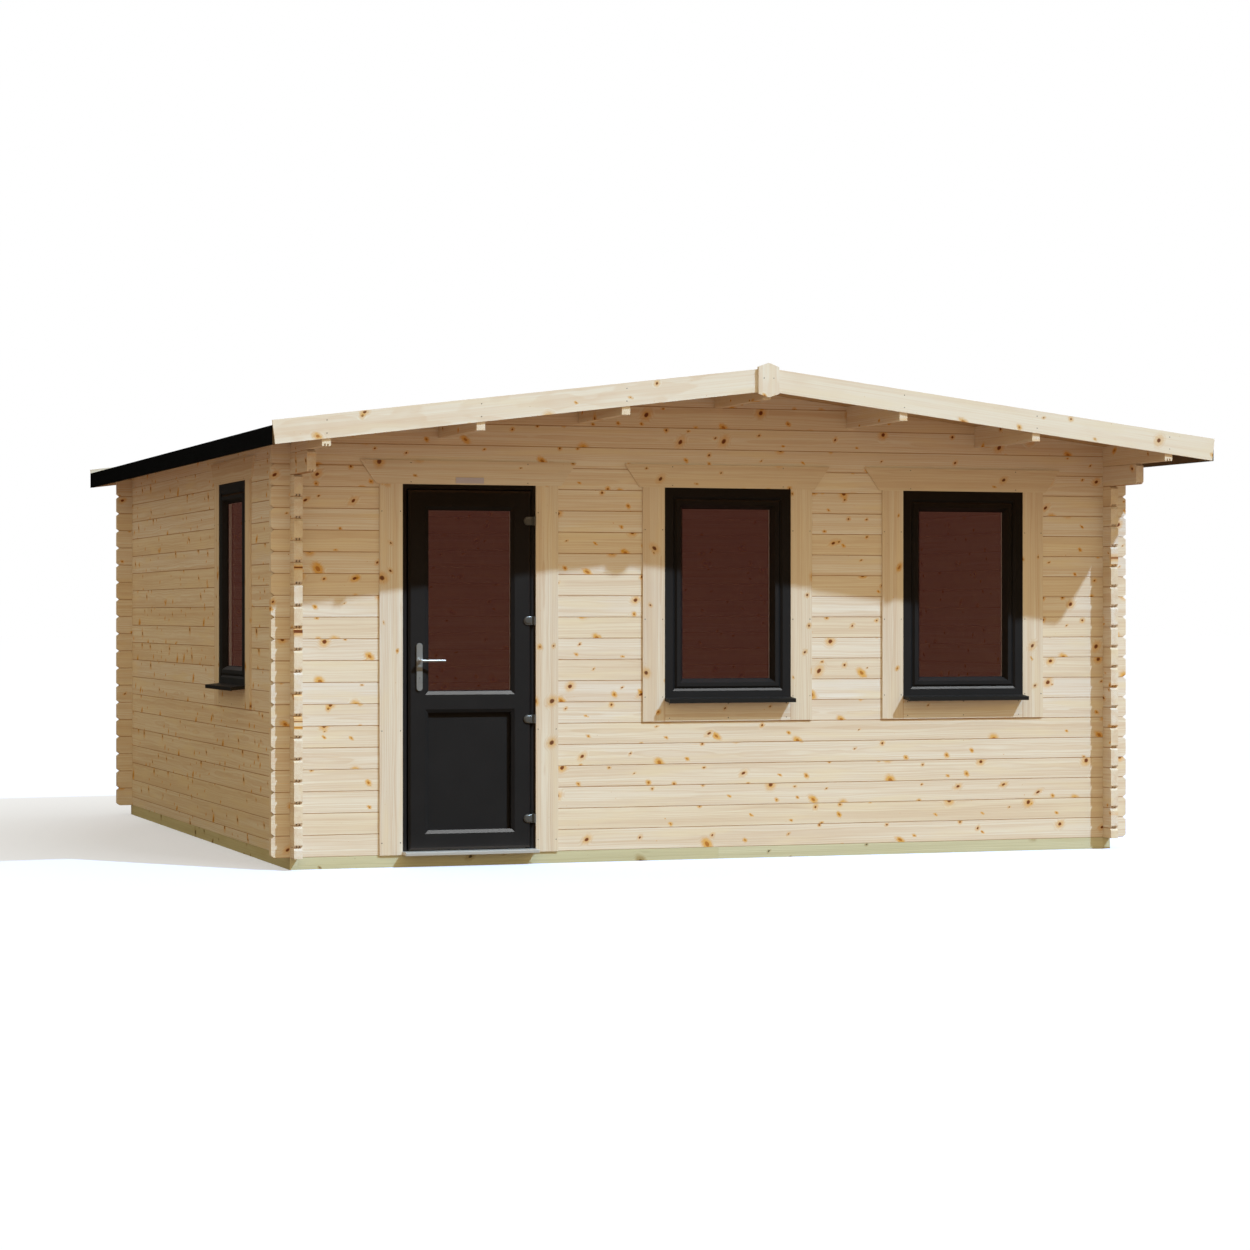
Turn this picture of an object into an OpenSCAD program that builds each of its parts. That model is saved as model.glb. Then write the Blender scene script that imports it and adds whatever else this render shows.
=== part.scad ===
// Gable-fronted log cabin with interlocking log walls, on treated bearers.
// Units are millimetres. X runs along the front wall, Y runs from front to back, Z is up.
// The origin is on the ground, at the middle of the whole building's outline.

/* [Walls] */
// Width over the outer faces of the side walls
wall_w = 4760; // [4400:10:6000]
// Depth over the outer faces of the front and back walls
wall_d = 4820; // [3600:10:6000]
// Thickness of a wall log
log_t = 45; // [36:1:70]
// Height that one log adds to the wall
log_h = 114; // [95:1:137]
// Courses of full logs in the front and back walls, below the gables
wall_rows = 19; // [19:1:22]
// Length of a log end past the wall that it crosses
log_end = 100; // [70:5:150]
// Bevel along a log's long edges, which makes the V joint between courses
log_bevel = 2.5; // [2:0.5:6]
// Height of the bevel across a free log end
end_bevel_h = 14; // [4:1:20]
// Length of the bevel across a free log end
end_bevel_l = 18; // [6:1:24]

/* [Tongues and grooves] */
// Width of a tongue at its root
tongue_w = 8; // [6:0.5:10]
// Height of a tongue
tongue_h = 7; // [5:0.5:10]
// Air gap left above a tongue in its groove
tongue_air = 5; // [2:0.5:7]
// Spacing of the two tongues of a log
tongue_pitch = 15; // [13:0.5:20]
// Open joint left between two courses
seam_gap = 0.4; // [0.3:0.1:0.8]
// Working clearance of a notch, a housing or a seat
fit_gap = 0.3; // [0.2:0.1:0.8]

/* [Base and floor] */
// Height of a bearer
bearer_h = 64; // [44:1:100]
// Width of a bearer
bearer_w = 45; // [40:1:70]
// Thickness of the floor boards
floor_t = 19; // [16:1:28]
// Number of floor joists between the side bearers
joist_count = 7; // [3:1:11]
// Expansion gap between the floor and the walls
floor_gap = 6; // [4:1:15]

/* [Roof] */
// Pitch of the roof in degrees
roof_pitch = 7; // [5:0.5:15]
// Overhang of the eaves past the side walls
eave_out = 255; // [200:5:400]
// Overhang of the roof in front of the front wall
front_out = 730; // [450:10:1200]
// Overhang of the roof behind the back wall
back_out = 100; // [100:10:400]
// Height of the eaves log at the outer face of the wall
eave_log_h = 108; // [80:1:120]
// Reach of the top side log under the front overhang
corbel_out = 400; // [200:10:440]
// Depth of a purlin
purlin_h = 116; // [90:1:150]
// Purlins on each slope, without the ridge
purlins_a_side = 2; // [1:1:2]
// Spacing of the purlins, from the ridge outwards
purlin_step = 778; // [600:2:860]
// Thickness of the roof boards
board_t = 19; // [16:1:28]
// Thickness of the roofing felt
felt_t = 3; // [2:0.5:5]
// Overlap of one felt strip on the strip below it
felt_lap = 80; // [50:5:120]
// Felt strips on each slope, below the ridge strip
felt_strips = 3; // [2:1:4]
// Width of the ridge strip on each slope
ridge_strip_w = 150; // [100:5:300]
// Depth of the felt folded down at the eaves
felt_drop = 96; // [90:1:110]
// Height of the eaves fascia
fascia_h = 91; // [88:1:120]
// Thickness of the eaves fascia
fascia_t = 18; // [15:1:25]

/* [Barge boards] */
// Depth of a barge board, square to the slope
barge_h = 120; // [95:1:160]
// Thickness of a barge board
barge_t = 12; // [10:1:28]
// Height of a barge board above the felt
barge_rise = 25; // [10:1:40]
// Width of the ridge plaque
plaque_w = 116; // [100:1:160]
// Height of the upright sides of the ridge plaque
plaque_side_h = 141; // [100:1:160]
// Height of the point above the sides of the ridge plaque
plaque_tip = 21; // [10:1:40]
// Depth of the point below the sides of the ridge plaque
plaque_foot = 19; // [10:1:40]
// Thickness of the ridge plaque
plaque_t = 18; // [12:1:45]
// Height of the ridge plaque's point above the barge boards
plaque_rise = 26; // [5:1:40]

/* [Openings] */
// Width of the door and windows seen between the trim boards
clear_w = 734; // [700:1:900]
// Lap of a trim board over the edge of the opening cut in the logs
trim_lap = 8; // [4:1:25]
// Courses of logs below the windows
sill_rows = 7; // [5:1:8]
// Height of the window opening cut in the logs
window_cut_h = 1166; // [1150:1:1240]
// Door centre, from the left wall's outer face
door_from_left = 970; // [800:10:1100]
// Middle window centre, from the left wall's outer face
window_1_from_left = 2434; // [2350:2:2500]
// Right window centre, from the left wall's outer face
window_2_from_left = 3840; // [3700:10:3860]
// Side window centre, from the front wall's outer face
side_window_from_front = 1452; // [1000:4:2400]

/* [Trim boards] */
// Width of a trim board
trim_w = 125; // [90:1:140]
// Thickness of a trim board
trim_t = 11; // [8:1:24]
// Step of the head board past the upright boards, at its lower edge
head_lip = 17; // [5:1:25]
// Outward slant of the head board's ends over its height
head_flare = 88; // [0:1:110]
// Height of the trim board under a window sill
apron_h = 109; // [80:1:120]
// Width of the plain plate above the door
plate_w = 154; // [100:1:200]
// Height of the plain plate above the door
plate_h = 31; // [20:1:40]
// Thickness of the plain plate above the door
plate_t = 3; // [1:0.5:4]
// Height of the plain plate above the head board's lower edge
plate_rise = 7; // [2:1:40]

/* [Window and door frames] */
// Step of a window frame's face behind the face of its trim boards
frame_step = 2; // [0:1:6]
// Depth of a frame
frame_d = 70; // [66:1:80]
// Width of a window frame's flat face at its sides and head
frame_face = 47; // [40:1:55]
// Height of a window frame's flat face above the sill
frame_foot = 36; // [30:1:50]
// Width of the bevel round a window frame's opening
frame_bevel_w = 12; // [6:1:14]
// Depth of the bevel round a window frame's opening
frame_bevel_d = 8; // [4:1:10]
// Width of a window sash's rail, with its outer bevel
sash_w = 32; // [28:1:50]
// Depth of a window sash
sash_d = 60; // [58:1:66]
// Width of the bevel round a sash or door leaf
leaf_bevel_w = 12; // [6:1:14]
// Depth of the bevel round a sash or door leaf
leaf_bevel_d = 9; // [4:1:10]
// Width of a glazing bead's slope
bead = 18; // [12:1:20]
// Depth of the bead's slope in a window
bead_d = 24; // [8:1:26]
// Setback of a window's glass from the face of its sash
glass_setback = 32; // [26:1:32]
// Thickness of one pane
pane_t = 4; // [4:1:5]
// Gap between the two panes
pane_gap = 16; // [10:1:16]
// Hold of the glass behind the bead
glass_hold = 10; // [8:1:15]
// Projection of a window sill past the wall's outer face
sill_out = 90; // [60:1:120]
// Thickness of a window sill
sill_t = 19; // [16:1:24]
// Fall of a window sill towards its nose
sill_fall = 8; // [4:1:14]
// Width of the drip lip under a sill's nose
drip_w = 6; // [4:1:10]
// Depth of the drip lip under a sill's nose
drip_h = 2; // [2:0.5:6]

/* [Door] */
// Width of the door frame's face seen on the lock side and above the leaf
door_frame_face = 24; // [20:1:44]
// Width of the door frame's face seen on the hinge side
hinge_frame_face = 22; // [20:1:32]
// Gap between leaf and frame on the lock side
lock_gap = 8; // [8:1:10]
// Gap between leaf and frame on the other sides
leaf_gap = 6; // [5:0.5:8]
// Cover of the frame's stop behind the leaf
stop_cover = 15; // [10:1:20]
// Depth of the door leaf
leaf_d = 50; // [46:1:52]
// Step of the door leaf in front of its frame
leaf_proud = 14; // [8:1:18]
// Width of the door leaf's stiles, without the bead
stile_w = 90; // [80:1:100]
// Width of the door leaf's top and bottom rails, without the bead
rail_w = 85; // [75:1:100]
// Height of the middle rail's centre above the ground
mid_rail_z = 869; // [800:1:950]
// Width of the middle rail, without the beads
mid_rail_w = 77; // [70:1:120]
// Depth of the bead's slope in the door leaf
leaf_bead_d = 8; // [4:1:10]
// Setback of the door's glass from the face of the leaf
leaf_glass_setback = 14; // [10:1:18]
// Setback of the lower panel from the face of the leaf
panel_setback = 30; // [20:1:32]
// Thickness of the lower door panel
panel_t = 14; // [10:1:16]
// Height of the aluminium threshold
threshold_h = 18; // [12:1:20]
// Projection of the threshold past the wall's outer face
threshold_out = 80; // [40:1:120]
// Width of the bevel along the threshold's nose
nose_bevel_w = 8; // [4:1:12]
// Height of the bevel along the threshold's nose
nose_bevel_h = 5; // [3:1:8]
// Opening angle of the door in degrees
door_open = 100; // [80:1:110]

/* [Door furniture] */
// Height of the hinge centres above the ground
hinge_zs = [244, 774, 1299, 1831];
// Height of one hinge
hinge_h = 46; // [40:1:60]
// Radius of a hinge knuckle
knuckle_r = 7; // [6:0.5:8]
// Radius of a hinge pin
pin_r = 3.5; // [3:0.5:4]
// Reach of a hinge flap over the door leaf, from its pin
flap_l = 58; // [45:1:70]
// Thickness of a hinge flap
flap_t = 5; // [4:0.5:5.5]
// Height of the handle spindle above the ground
handle_z = 1088; // [1000:1:1150]
// Height of the handle plate
handle_plate_h = 252; // [215:1:270]
// Width of the handle plate
handle_plate_w = 32; // [28:1:40]
// Thickness of the handle plate
handle_plate_t = 8; // [5:0.5:10]
// Height of the spindle above the handle plate's middle
spindle_rise = 33; // [20:1:45]
// Distance of the spindle from the edge of the leaf
backset = 58; // [38:1:62]
// Length of the lever from its spindle
lever_l = 135; // [110:1:150]
// Reach of the lever in front of its plate
lever_out = 44; // [38:1:55]
// Diameter of the lever
lever_dia = 14; // [12:1:18]
// Radius of the spindle
spindle_r = 4; // [4:0.5:5]

/* [Hidden] */
$fn = 48;

pine = [0.84, 0.74, 0.58];
shaded_pine = [0.72, 0.58, 0.42];
treated_pine = [0.62, 0.62, 0.45];
felt_black = [0.06, 0.06, 0.06];
black_upvc = [0.10, 0.10, 0.11];
dark_glass = [0.25, 0.14, 0.12];
silver = [0.72, 0.72, 0.73];
hinge_grey = [0.30, 0.30, 0.31];

eps = 1;                                   // overrun of a cut past the surface that it opens
slope = tan(roof_pitch);
log_body_h = log_h - seam_gap;
notch_deep = log_h / 4 + fit_gap / 2;      // crossing logs are halved top and bottom
groove_w = tongue_w + 2 * fit_gap;
groove_deep = tongue_h + tongue_air;
tongue_taper = 1;
tongue_centres = [log_t / 2 - tongue_pitch / 2, log_t / 2 + tongue_pitch / 2];

// Outline of the building on the ground
x_left = -wall_w / 2;
x_right = wall_w / 2;
y_front = -(wall_d + front_out + back_out) / 2 + front_out;
y_back = y_front + wall_d;
x_crossings = [x_left + log_t / 2, x_right - log_t / 2];
y_crossings = [y_front + log_t / 2, y_back - log_t / 2];
roof_y0 = y_front - front_out;
roof_y1 = y_back + back_out;
half_roof = wall_w / 2 + eave_out;

// Heights
function front_z(row) = bearer_h + row * log_h;
function side_z(row) = bearer_h + log_h / 2 + row * log_h;
side_rows = wall_rows - 1;
eave_z = side_z(side_rows);
// Underside of the roof boards at a distance x from the ridge line
function under_z(x) = eave_z + eave_log_h + (wall_w / 2 - abs(x)) * slope;
board_rise = board_t / cos(roof_pitch);
felt_rise = felt_t / cos(roof_pitch);
function felt_low_z(x) = under_z(x) + board_rise + fit_gap;
function felt_top_z(x) = felt_low_z(x) + felt_rise;
gable_rows = ceil((under_z(0) - front_z(wall_rows)) / log_h);

// Openings
cut_w = clear_w + 2 * trim_lap;
frame_gap = 2;                             // packing gap between the door frame and the logs
cut_rows = floor(window_cut_h / log_h);
head_row = sill_rows + cut_rows;
front_sill_z = front_z(sill_rows);
front_head_z = front_sill_z + window_cut_h;
side_sill_z = side_z(sill_rows);
side_head_z = side_sill_z + window_cut_h;
door_x = x_left + door_from_left;
window_xs = [x_left + window_1_from_left, x_left + window_2_from_left];
window_face = frame_step - trim_t;         // faces of the frames, from the wall's outer face
door_face = leaf_proud - trim_t;
side_window_y = y_front + side_window_from_front;

// Door leaf and its hinge line, measured along and into the front wall
jamb_x0 = door_x - clear_w / 2 + door_frame_face;
jamb_x1 = door_x + clear_w / 2 - hinge_frame_face;
leaf_x0 = jamb_x0 + lock_gap;
leaf_x1 = jamb_x1 - leaf_gap;
stop_x0 = leaf_x0 + stop_cover;
stop_x1 = leaf_x1 - stop_cover;
leaf_z0 = bearer_h + threshold_h + leaf_gap;
leaf_z1 = front_head_z - trim_lap - door_frame_face - leaf_gap;
leaf_y0 = y_front - trim_t;
leaf_y1 = leaf_y0 + leaf_d;
closing_gap = 5;                           // the leaf closes this far short of its stop
stop_y0 = leaf_y1 + closing_gap;
hinge_x = jamb_x1 + hinge_frame_face / 2;
knuckle_gap = 1;                           // between a knuckle and what it turns past
hinge_y = leaf_y0 - knuckle_r - knuckle_gap;
spindle_x = leaf_x0 + backset;
spindle_gap = 1;                           // round the spindle in its plates

// Cross section of a log: width along X, height along Y, two tongues above and two grooves below
module log_section(h, tongues = true, grooves = true) {
    polygon(concat(
        [[0, log_bevel], [log_bevel, 0]],
        grooves ? [for (c = tongue_centres) each [
            [c - groove_w / 2, 0], [c - groove_w / 2 + tongue_taper, groove_deep],
            [c + groove_w / 2 - tongue_taper, groove_deep], [c + groove_w / 2, 0]]] : [],
        [[log_t - log_bevel, 0], [log_t, log_bevel], [log_t, h - log_bevel], [log_t - log_bevel, h]],
        tongues ? [for (i = [1, 0]) let (c = tongue_centres[i]) each [
            [c + tongue_w / 2, h], [c + tongue_w / 2 - tongue_taper, h + tongue_h],
            [c - tongue_w / 2 + tongue_taper, h + tongue_h], [c - tongue_w / 2, h]]] : [],
        [[log_bevel, h], [0, h - log_bevel]]));
}

// Bevels across the free end of a log at x = 0, where the log lies towards -X
module end_bevels(h, below = true) {
    ratio = end_bevel_l / end_bevel_h;
    top = tongue_h + eps;
    translate([0, log_t + eps, 0]) rotate([90, 0, 0]) linear_extrude(log_t + 2 * eps) {
        polygon([[-end_bevel_l - top * ratio, h + top], [eps, h - end_bevel_h - eps / ratio],
            [eps, h + top]]);
        if (below) polygon([[-end_bevel_l - eps * ratio, -eps], [eps, -eps],
            [eps, end_bevel_h + eps / ratio]]);
    }
}

// A log from x0 to x1, with its outer face on y = 0 and its underside on z = 0.
// It is notched above and below where other logs cross it, and bevelled at its free ends.
module log_run(x0, x1, crossings = [], free = [true, true], h = log_body_h,
               tongues = true, grooves = true, notch_below = true, notch_above = true) {
    notch_w = log_t + 2 * fit_gap;
    difference() {
        translate([x0, 0, 0]) rotate([90, 0, 90]) linear_extrude(x1 - x0)
            log_section(h, tongues, grooves);
        for (c = crossings) {
            if (notch_below) translate([c - notch_w / 2, -eps, -eps])
                cube([notch_w, log_t + 2 * eps, notch_deep + eps]);
            if (notch_above) translate([c - notch_w / 2, -eps, h + seam_gap - notch_deep])
                cube([notch_w, log_t + 2 * eps, notch_deep + tongue_h + eps]);
        }
        if (free[0]) translate([x0, 0, 0]) mirror([1, 0, 0]) end_bevels(h, grooves);
        if (free[1]) translate([x1, 0, 0]) end_bevels(h, grooves);
    }
}

// Logs of the front wall, rows a to b, between x0 and x1
module front_rows(a, b, x0, x1, free) {
    for (row = [a : b]) translate([0, y_front, front_z(row)])
        log_run(x0, x1, crossings(x_crossings, x0, x1), free);
}

// A log of a side wall, from x to x + log_t and from y0 to y1
module side_log(x, y0, y1, z, free = [true, true], h = log_body_h, grooves = true, below = true) {
    translate([x + log_t, 0, z]) rotate([0, 0, 90])
        log_run(y0, y1, crossings(y_crossings, y0, y1), free, h, true, grooves, below);
}

// The crossing centres that lie on a log between a and b
function crossings(centres, a, b) = [for (c = centres) if (c > a && c < b) c];

// The whole space under the roof boards, less a seat's clearance
module under_roof() {
    top = [for (x = [-half_roof, 0, half_roof]) [x, under_z(x) - fit_gap]];
    translate([0, roof_y1, 0]) rotate([90, 0, 0]) linear_extrude(roof_y1 - roof_y0)
        polygon(concat([[half_roof, 0], [-half_roof, 0]], top));
}

// A purlin centred at x, grown by a clearance all round where it is cut out of a gable
module purlin(x, grow = 0) {
    sides = [x - log_t / 2 - grow, x + log_t / 2 + grow];
    bottom = under_z(x) - purlin_h - grow;
    top = grow > 0 ? grow : -fit_gap;
    ridge = x == 0 ? [[0, under_z(0) + top]] : [];
    translate([0, roof_y1 + grow, 0]) rotate([90, 0, 0])
        linear_extrude(roof_y1 - roof_y0 + 2 * grow)
            polygon(concat([[sides[1], bottom], [sides[0], bottom],
                [sides[0], under_z(sides[0]) + top]], ridge, [[sides[1], under_z(sides[1]) + top]]));
}

// The gable logs of a wall whose outer face is at y, cut to the slopes and round the purlins
module gable(y) {
    reach = wall_w / 2 - log_t - fit_gap;
    difference() {
        intersection() {
            for (row = [0 : gable_rows - 1]) translate([0, y, front_z(wall_rows + row)])
                log_run(-reach, reach, [], [false, false]);
            under_roof();
        }
        for (i = [-purlins_a_side : purlins_a_side]) purlin(i * purlin_step, fit_gap);
    }
}

module bearers() {
    color(treated_pine) {
        for (side = [-1, 1]) translate([side > 0 ? x_right - bearer_w : x_left, y_front, 0])
            cube([bearer_w, wall_d, bearer_h]);
        half = (wall_w - 2 * bearer_w - 3 * fit_gap) / 2;
        for (y = [y_front, y_back - bearer_w]) for (x = [x_left + bearer_w + fit_gap, fit_gap / 2])
            translate([x, y, 0]) cube([half, bearer_w, bearer_h]);
    }
}

module floor_joists() {
    span = wall_d - 2 * bearer_w - 2 * fit_gap;
    step = (wall_w - bearer_w) / (joist_count + 1);
    color(treated_pine) for (i = [1 : joist_count])
        translate([x_left + i * step, y_front + bearer_w + fit_gap, 0])
            cube([bearer_w, span, bearer_h]);
}

module floor_boards() {
    inset = log_t + floor_gap;
    color(pine) difference() {
        translate([x_left + inset, y_front + inset, bearer_h])
            cube([wall_w - 2 * inset, wall_d - 2 * inset, floor_t]);
        translate([door_x - cut_w / 2 - frame_gap, y_front, bearer_h - eps])
            cube([cut_w + 2 * frame_gap, door_face + frame_d + frame_gap, floor_t + 2 * eps]);
    }
}

module front_wall_left() {
    color(pine) front_rows(0, head_row - 1, x_left - log_end, door_x - cut_w / 2, [true, false]);
}

// Takes the tongues off the log under a window, where the frame stands
module tongue_cut() {
    translate([-cut_w / 2, -eps, -seam_gap]) cube([cut_w, log_t + 2 * eps, 2 * tongue_h]);
}

module front_wall_low() {
    color(pine) difference() {
        front_rows(0, sill_rows - 1, door_x + cut_w / 2, x_right + log_end, [false, true]);
        each_front_window() tongue_cut();
    }
}

module front_wall_piers() {
    starts = [door_x + cut_w / 2, window_xs[0] + cut_w / 2, window_xs[1] + cut_w / 2];
    ends = [window_xs[0] - cut_w / 2, window_xs[1] - cut_w / 2, x_right + log_end];
    color(pine) for (i = [0 : 2])
        front_rows(sill_rows, head_row - 1, starts[i], ends[i], [false, i == 2]);
}

module front_wall_head() {
    color(pine) difference() {
        front_rows(head_row, wall_rows - 1, x_left - log_end, x_right + log_end, [true, true]);
        for (x = concat([door_x], window_xs)) translate([x - cut_w / 2, y_front - eps, 0])
            cube([cut_w, log_t + 2 * eps, front_head_z]);
    }
}

module front_gable() {
    color(pine) gable(y_front);
}

module back_gable() {
    color(pine) gable(y_back - log_t);
}

module back_wall() {
    color(pine) for (row = [0 : wall_rows - 1]) translate([0, y_back - log_t, front_z(row)])
        log_run(x_left - log_end, x_right + log_end, x_crossings);
}

// The half log that starts a side wall, with a flat underside on the bearer
module half_log(x) {
    side_log(x, y_front - log_end, y_back + log_end, bearer_h,
        h = log_h / 2 - seam_gap, grooves = false, below = false);
}

module side_rows_full(x, a, b) {
    for (row = [a : b]) side_log(x, row == side_rows - 1 ? y_front - corbel_out : y_front - log_end,
        y_back + log_end, side_z(row));
}

module left_wall_low() {
    color(shaded_pine) difference() {
        union() {
            half_log(x_left);
            side_rows_full(x_left, 0, sill_rows - 1);
        }
        in_left_wall() tongue_cut();
    }
}

module left_wall_piers() {
    color(shaded_pine) for (row = [sill_rows : head_row - 1]) {
        side_log(x_left, y_front - log_end, side_window_y - cut_w / 2, side_z(row), [true, false]);
        side_log(x_left, side_window_y + cut_w / 2, y_back + log_end, side_z(row), [false, true]);
    }
}

module left_wall_head() {
    color(shaded_pine) difference() {
        side_rows_full(x_left, head_row, side_rows - 1);
        translate([x_left - eps, side_window_y - cut_w / 2, 0])
            cube([log_t + 2 * eps, cut_w, side_head_z]);
    }
}

module right_wall() {
    color(pine) {
        half_log(x_right - log_t);
        side_rows_full(x_right - log_t, 0, side_rows - 1);
    }
}

// The logs that carry the eaves, bevelled along their tops to the roof's slope
module eaves_logs() {
    tall = eave_log_h + log_t;
    color(pine) intersection() {
        for (x = [x_left, x_right - log_t]) translate([x + log_t, 0, eave_z])
            rotate([0, 0, 90]) log_run(roof_y0, roof_y1, y_crossings, [false, false], tall,
                tongues = false, notch_above = false);
        under_roof();
    }
}

module purlins() {
    color(pine) for (i = [-purlins_a_side : purlins_a_side]) purlin(i * purlin_step);
}

// Boards of one slope: side is -1 for the left and 1 for the right
module roof_boards(side) {
    edge = half_roof - felt_t - fascia_t - fit_gap;
    xs = [fit_gap, edge];
    color(shaded_pine) translate([0, roof_y1, 0]) rotate([90, 0, 0])
        linear_extrude(roof_y1 - roof_y0) polygon([
            [side * xs[0], under_z(xs[0])], [side * xs[1], under_z(xs[1])],
            [side * xs[1], under_z(xs[1]) + board_rise],
            [side * xs[0], under_z(xs[0]) + board_rise]]);
}

module roof_boards_left() {
    roof_boards(-1);
}

module roof_boards_right() {
    roof_boards(1);
}

// Outline of a felt strip that lies on the strip below it from x_low and runs up to x_high
module felt_strip(x_low, x_high, side) {
    lift = felt_rise + fit_gap;
    ramp = 2 * felt_lap / 5;
    path = [[x_low, lift], [x_low - felt_lap, lift], [x_low - felt_lap - ramp, 0], [x_high, 0]];
    polygon(concat([for (q = path) [side * q[0], felt_low_z(q[0]) + q[1]]],
        [for (i = [3 : -1 : 0]) [side * path[i][0], felt_top_z(path[i][0]) + path[i][1]]]));
}

// Felt in lapped strips on both slopes, with the lowest strip folded down over the fascia, and a
// strip along the ridge
module roof_felt() {
    low = felt_top_z(half_roof) - felt_drop;
    inner = half_roof - felt_t;
    strip_w = half_roof / felt_strips;
    lift = felt_rise + fit_gap;
    edge = ridge_strip_w;
    color(felt_black) translate([0, roof_y1, 0]) rotate([90, 0, 0])
        linear_extrude(roof_y1 - roof_y0) {
            for (side = [-1, 1]) {
                first = half_roof - strip_w;
                polygon([[side * first, felt_low_z(first)], [side * inner, felt_low_z(inner)],
                    [side * inner, low], [side * half_roof, low],
                    [side * half_roof, felt_top_z(half_roof)], [side * first, felt_top_z(first)]]);
                for (i = [1 : felt_strips - 1])
                    felt_strip(half_roof - i * strip_w + felt_lap, max(fit_gap,
                        half_roof - (i + 1) * strip_w), side);
            }
            polygon([[-edge, felt_low_z(edge) + lift], [0, felt_low_z(0) + lift],
                [edge, felt_low_z(edge) + lift], [edge, felt_top_z(edge) + lift],
                [0, felt_top_z(0) + lift], [-edge, felt_top_z(edge) + lift]]);
        }
}

module eaves_fascias() {
    color(pine) for (side = [-1, 1]) {
        x_in = half_roof - felt_t - fascia_t;
        top = under_z(half_roof) + board_rise;
        translate([side > 0 ? x_in : -x_in - fascia_t, roof_y0, top - fascia_h])
            cube([fascia_t, roof_y1 - roof_y0, fascia_h]);
    }
}

// A pair of barge boards, square at the eaves and mitred at the ridge, with their faces from y
module barge_boards(y) {
    length = (half_roof + 2 * barge_h) / cos(roof_pitch);
    top_z = felt_top_z(half_roof) + barge_rise;
    color(pine) for (side = [0, 1]) mirror([side, 0, 0]) intersection() {
        translate([-half_roof, y + barge_t, top_z]) rotate([0, -roof_pitch, 0])
            translate([0, -barge_t, -barge_h]) cube([length, barge_t, barge_h]);
        translate([-half_roof - eps, y, 0]) cube([half_roof + eps - fit_gap / 2, barge_t, 2 * top_z]);
    }
}

module front_barge_boards() {
    barge_boards(roof_y0 - barge_t);
}

module back_barge_boards() {
    barge_boards(roof_y1);
}

// Six-sided blocks over the mitres of the barge boards
module ridge_plaques() {
    top = felt_top_z(0) + barge_rise + plaque_rise;
    side_top = top - plaque_tip;
    side_low = side_top - plaque_side_h;
    color(pine) for (y = [roof_y0 - barge_t - plaque_t, roof_y1 + barge_t])
        translate([0, y + plaque_t, 0]) rotate([90, 0, 0]) linear_extrude(plaque_t)
            polygon([[0, top], [plaque_w / 2, side_top], [plaque_w / 2, side_low],
                [0, side_low - plaque_foot], [-plaque_w / 2, side_low], [-plaque_w / 2, side_top]]);
}

// Things set in a wall are drawn with X along the wall, Y into it and Z up, from the middle of
// their opening's foot, and then put into the front wall or the left wall.
module in_front_wall(x, z) {
    translate([x, y_front, z]) children();
}

module in_left_wall() {
    translate([x_left, side_window_y, side_sill_z]) rotate([0, 0, -90]) children();
}

module each_front_window() {
    for (x = window_xs) in_front_wall(x, front_sill_z) children();
}

// Trim round an opening whose visible part runs from z0 to z1: a flared head board, two upright
// boards down to foot and, round a window, a board under the sill
module trim(foot, z1, under_sill) {
    edge = clear_w / 2;
    color(pine) rotate([90, 0, 0]) linear_extrude(trim_t) {
        for (side = [-1, 1]) translate([side > 0 ? edge : -edge - trim_w, foot])
            square([trim_w, z1 - foot]);
        low = edge + trim_w + head_lip;
        translate([0, fit_gap]) polygon([[-low, z1], [low, z1], [low + head_flare, z1 + trim_w],
            [-low - head_flare, z1 + trim_w]]);
        if (under_sill > foot) translate([-edge + fit_gap, foot])
            square([clear_w - 2 * fit_gap, under_sill - foot]);
    }
}

// The visible height of a window opening and the level of its sill's back edge
window_clear_h = window_cut_h - trim_lap;
sill_back_z = sill_t;

module window_trim() {
    sill_slope = sill_fall / (window_face + sill_out - drip_w);
    apron_top = sill_back_z - sill_t - sill_slope * frame_step - fit_gap;
    trim(apron_top - apron_h, window_clear_h, apron_top);
}

// A splayed opening, w by h at y = 0 and narrower by s on each side at y = depth
module splay(w, h, s, depth) {
    intersection() {
        translate([0, 0, -eps]) linear_extrude(h + 2 * eps) polygon([[-w / 2 - s, -depth],
            [w / 2 + s, -depth], [w / 2 - s, depth], [-w / 2 + s, depth]]);
        translate([-w / 2 - eps - s, 0, 0]) rotate([90, 0, 90]) linear_extrude(w + 2 * eps + 2 * s)
            polygon([[-depth, -s], [depth, s], [depth, h - s], [-depth, h + s]]);
    }
}

// A block, w by h and deep, with a bevel round its face at y = 0
module bevelled_block(w, h, depth) {
    over = eps * leaf_bevel_w / leaf_bevel_d;
    intersection() {
        translate([0, 0, -eps]) linear_extrude(h + 2 * eps) polygon([
            [-w / 2 + leaf_bevel_w, 0], [w / 2 - leaf_bevel_w, 0], [w / 2, leaf_bevel_d],
            [w / 2, depth], [-w / 2, depth], [-w / 2, leaf_bevel_d]]);
        translate([-w / 2 - eps, 0, 0]) rotate([90, 0, 90]) linear_extrude(w + 2 * eps) polygon([
            [-eps, leaf_bevel_w + over], [leaf_bevel_d, 0], [depth + eps, 0], [depth + eps, h],
            [leaf_bevel_d, h], [-eps, h - leaf_bevel_w - over]]);
    }
}

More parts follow.
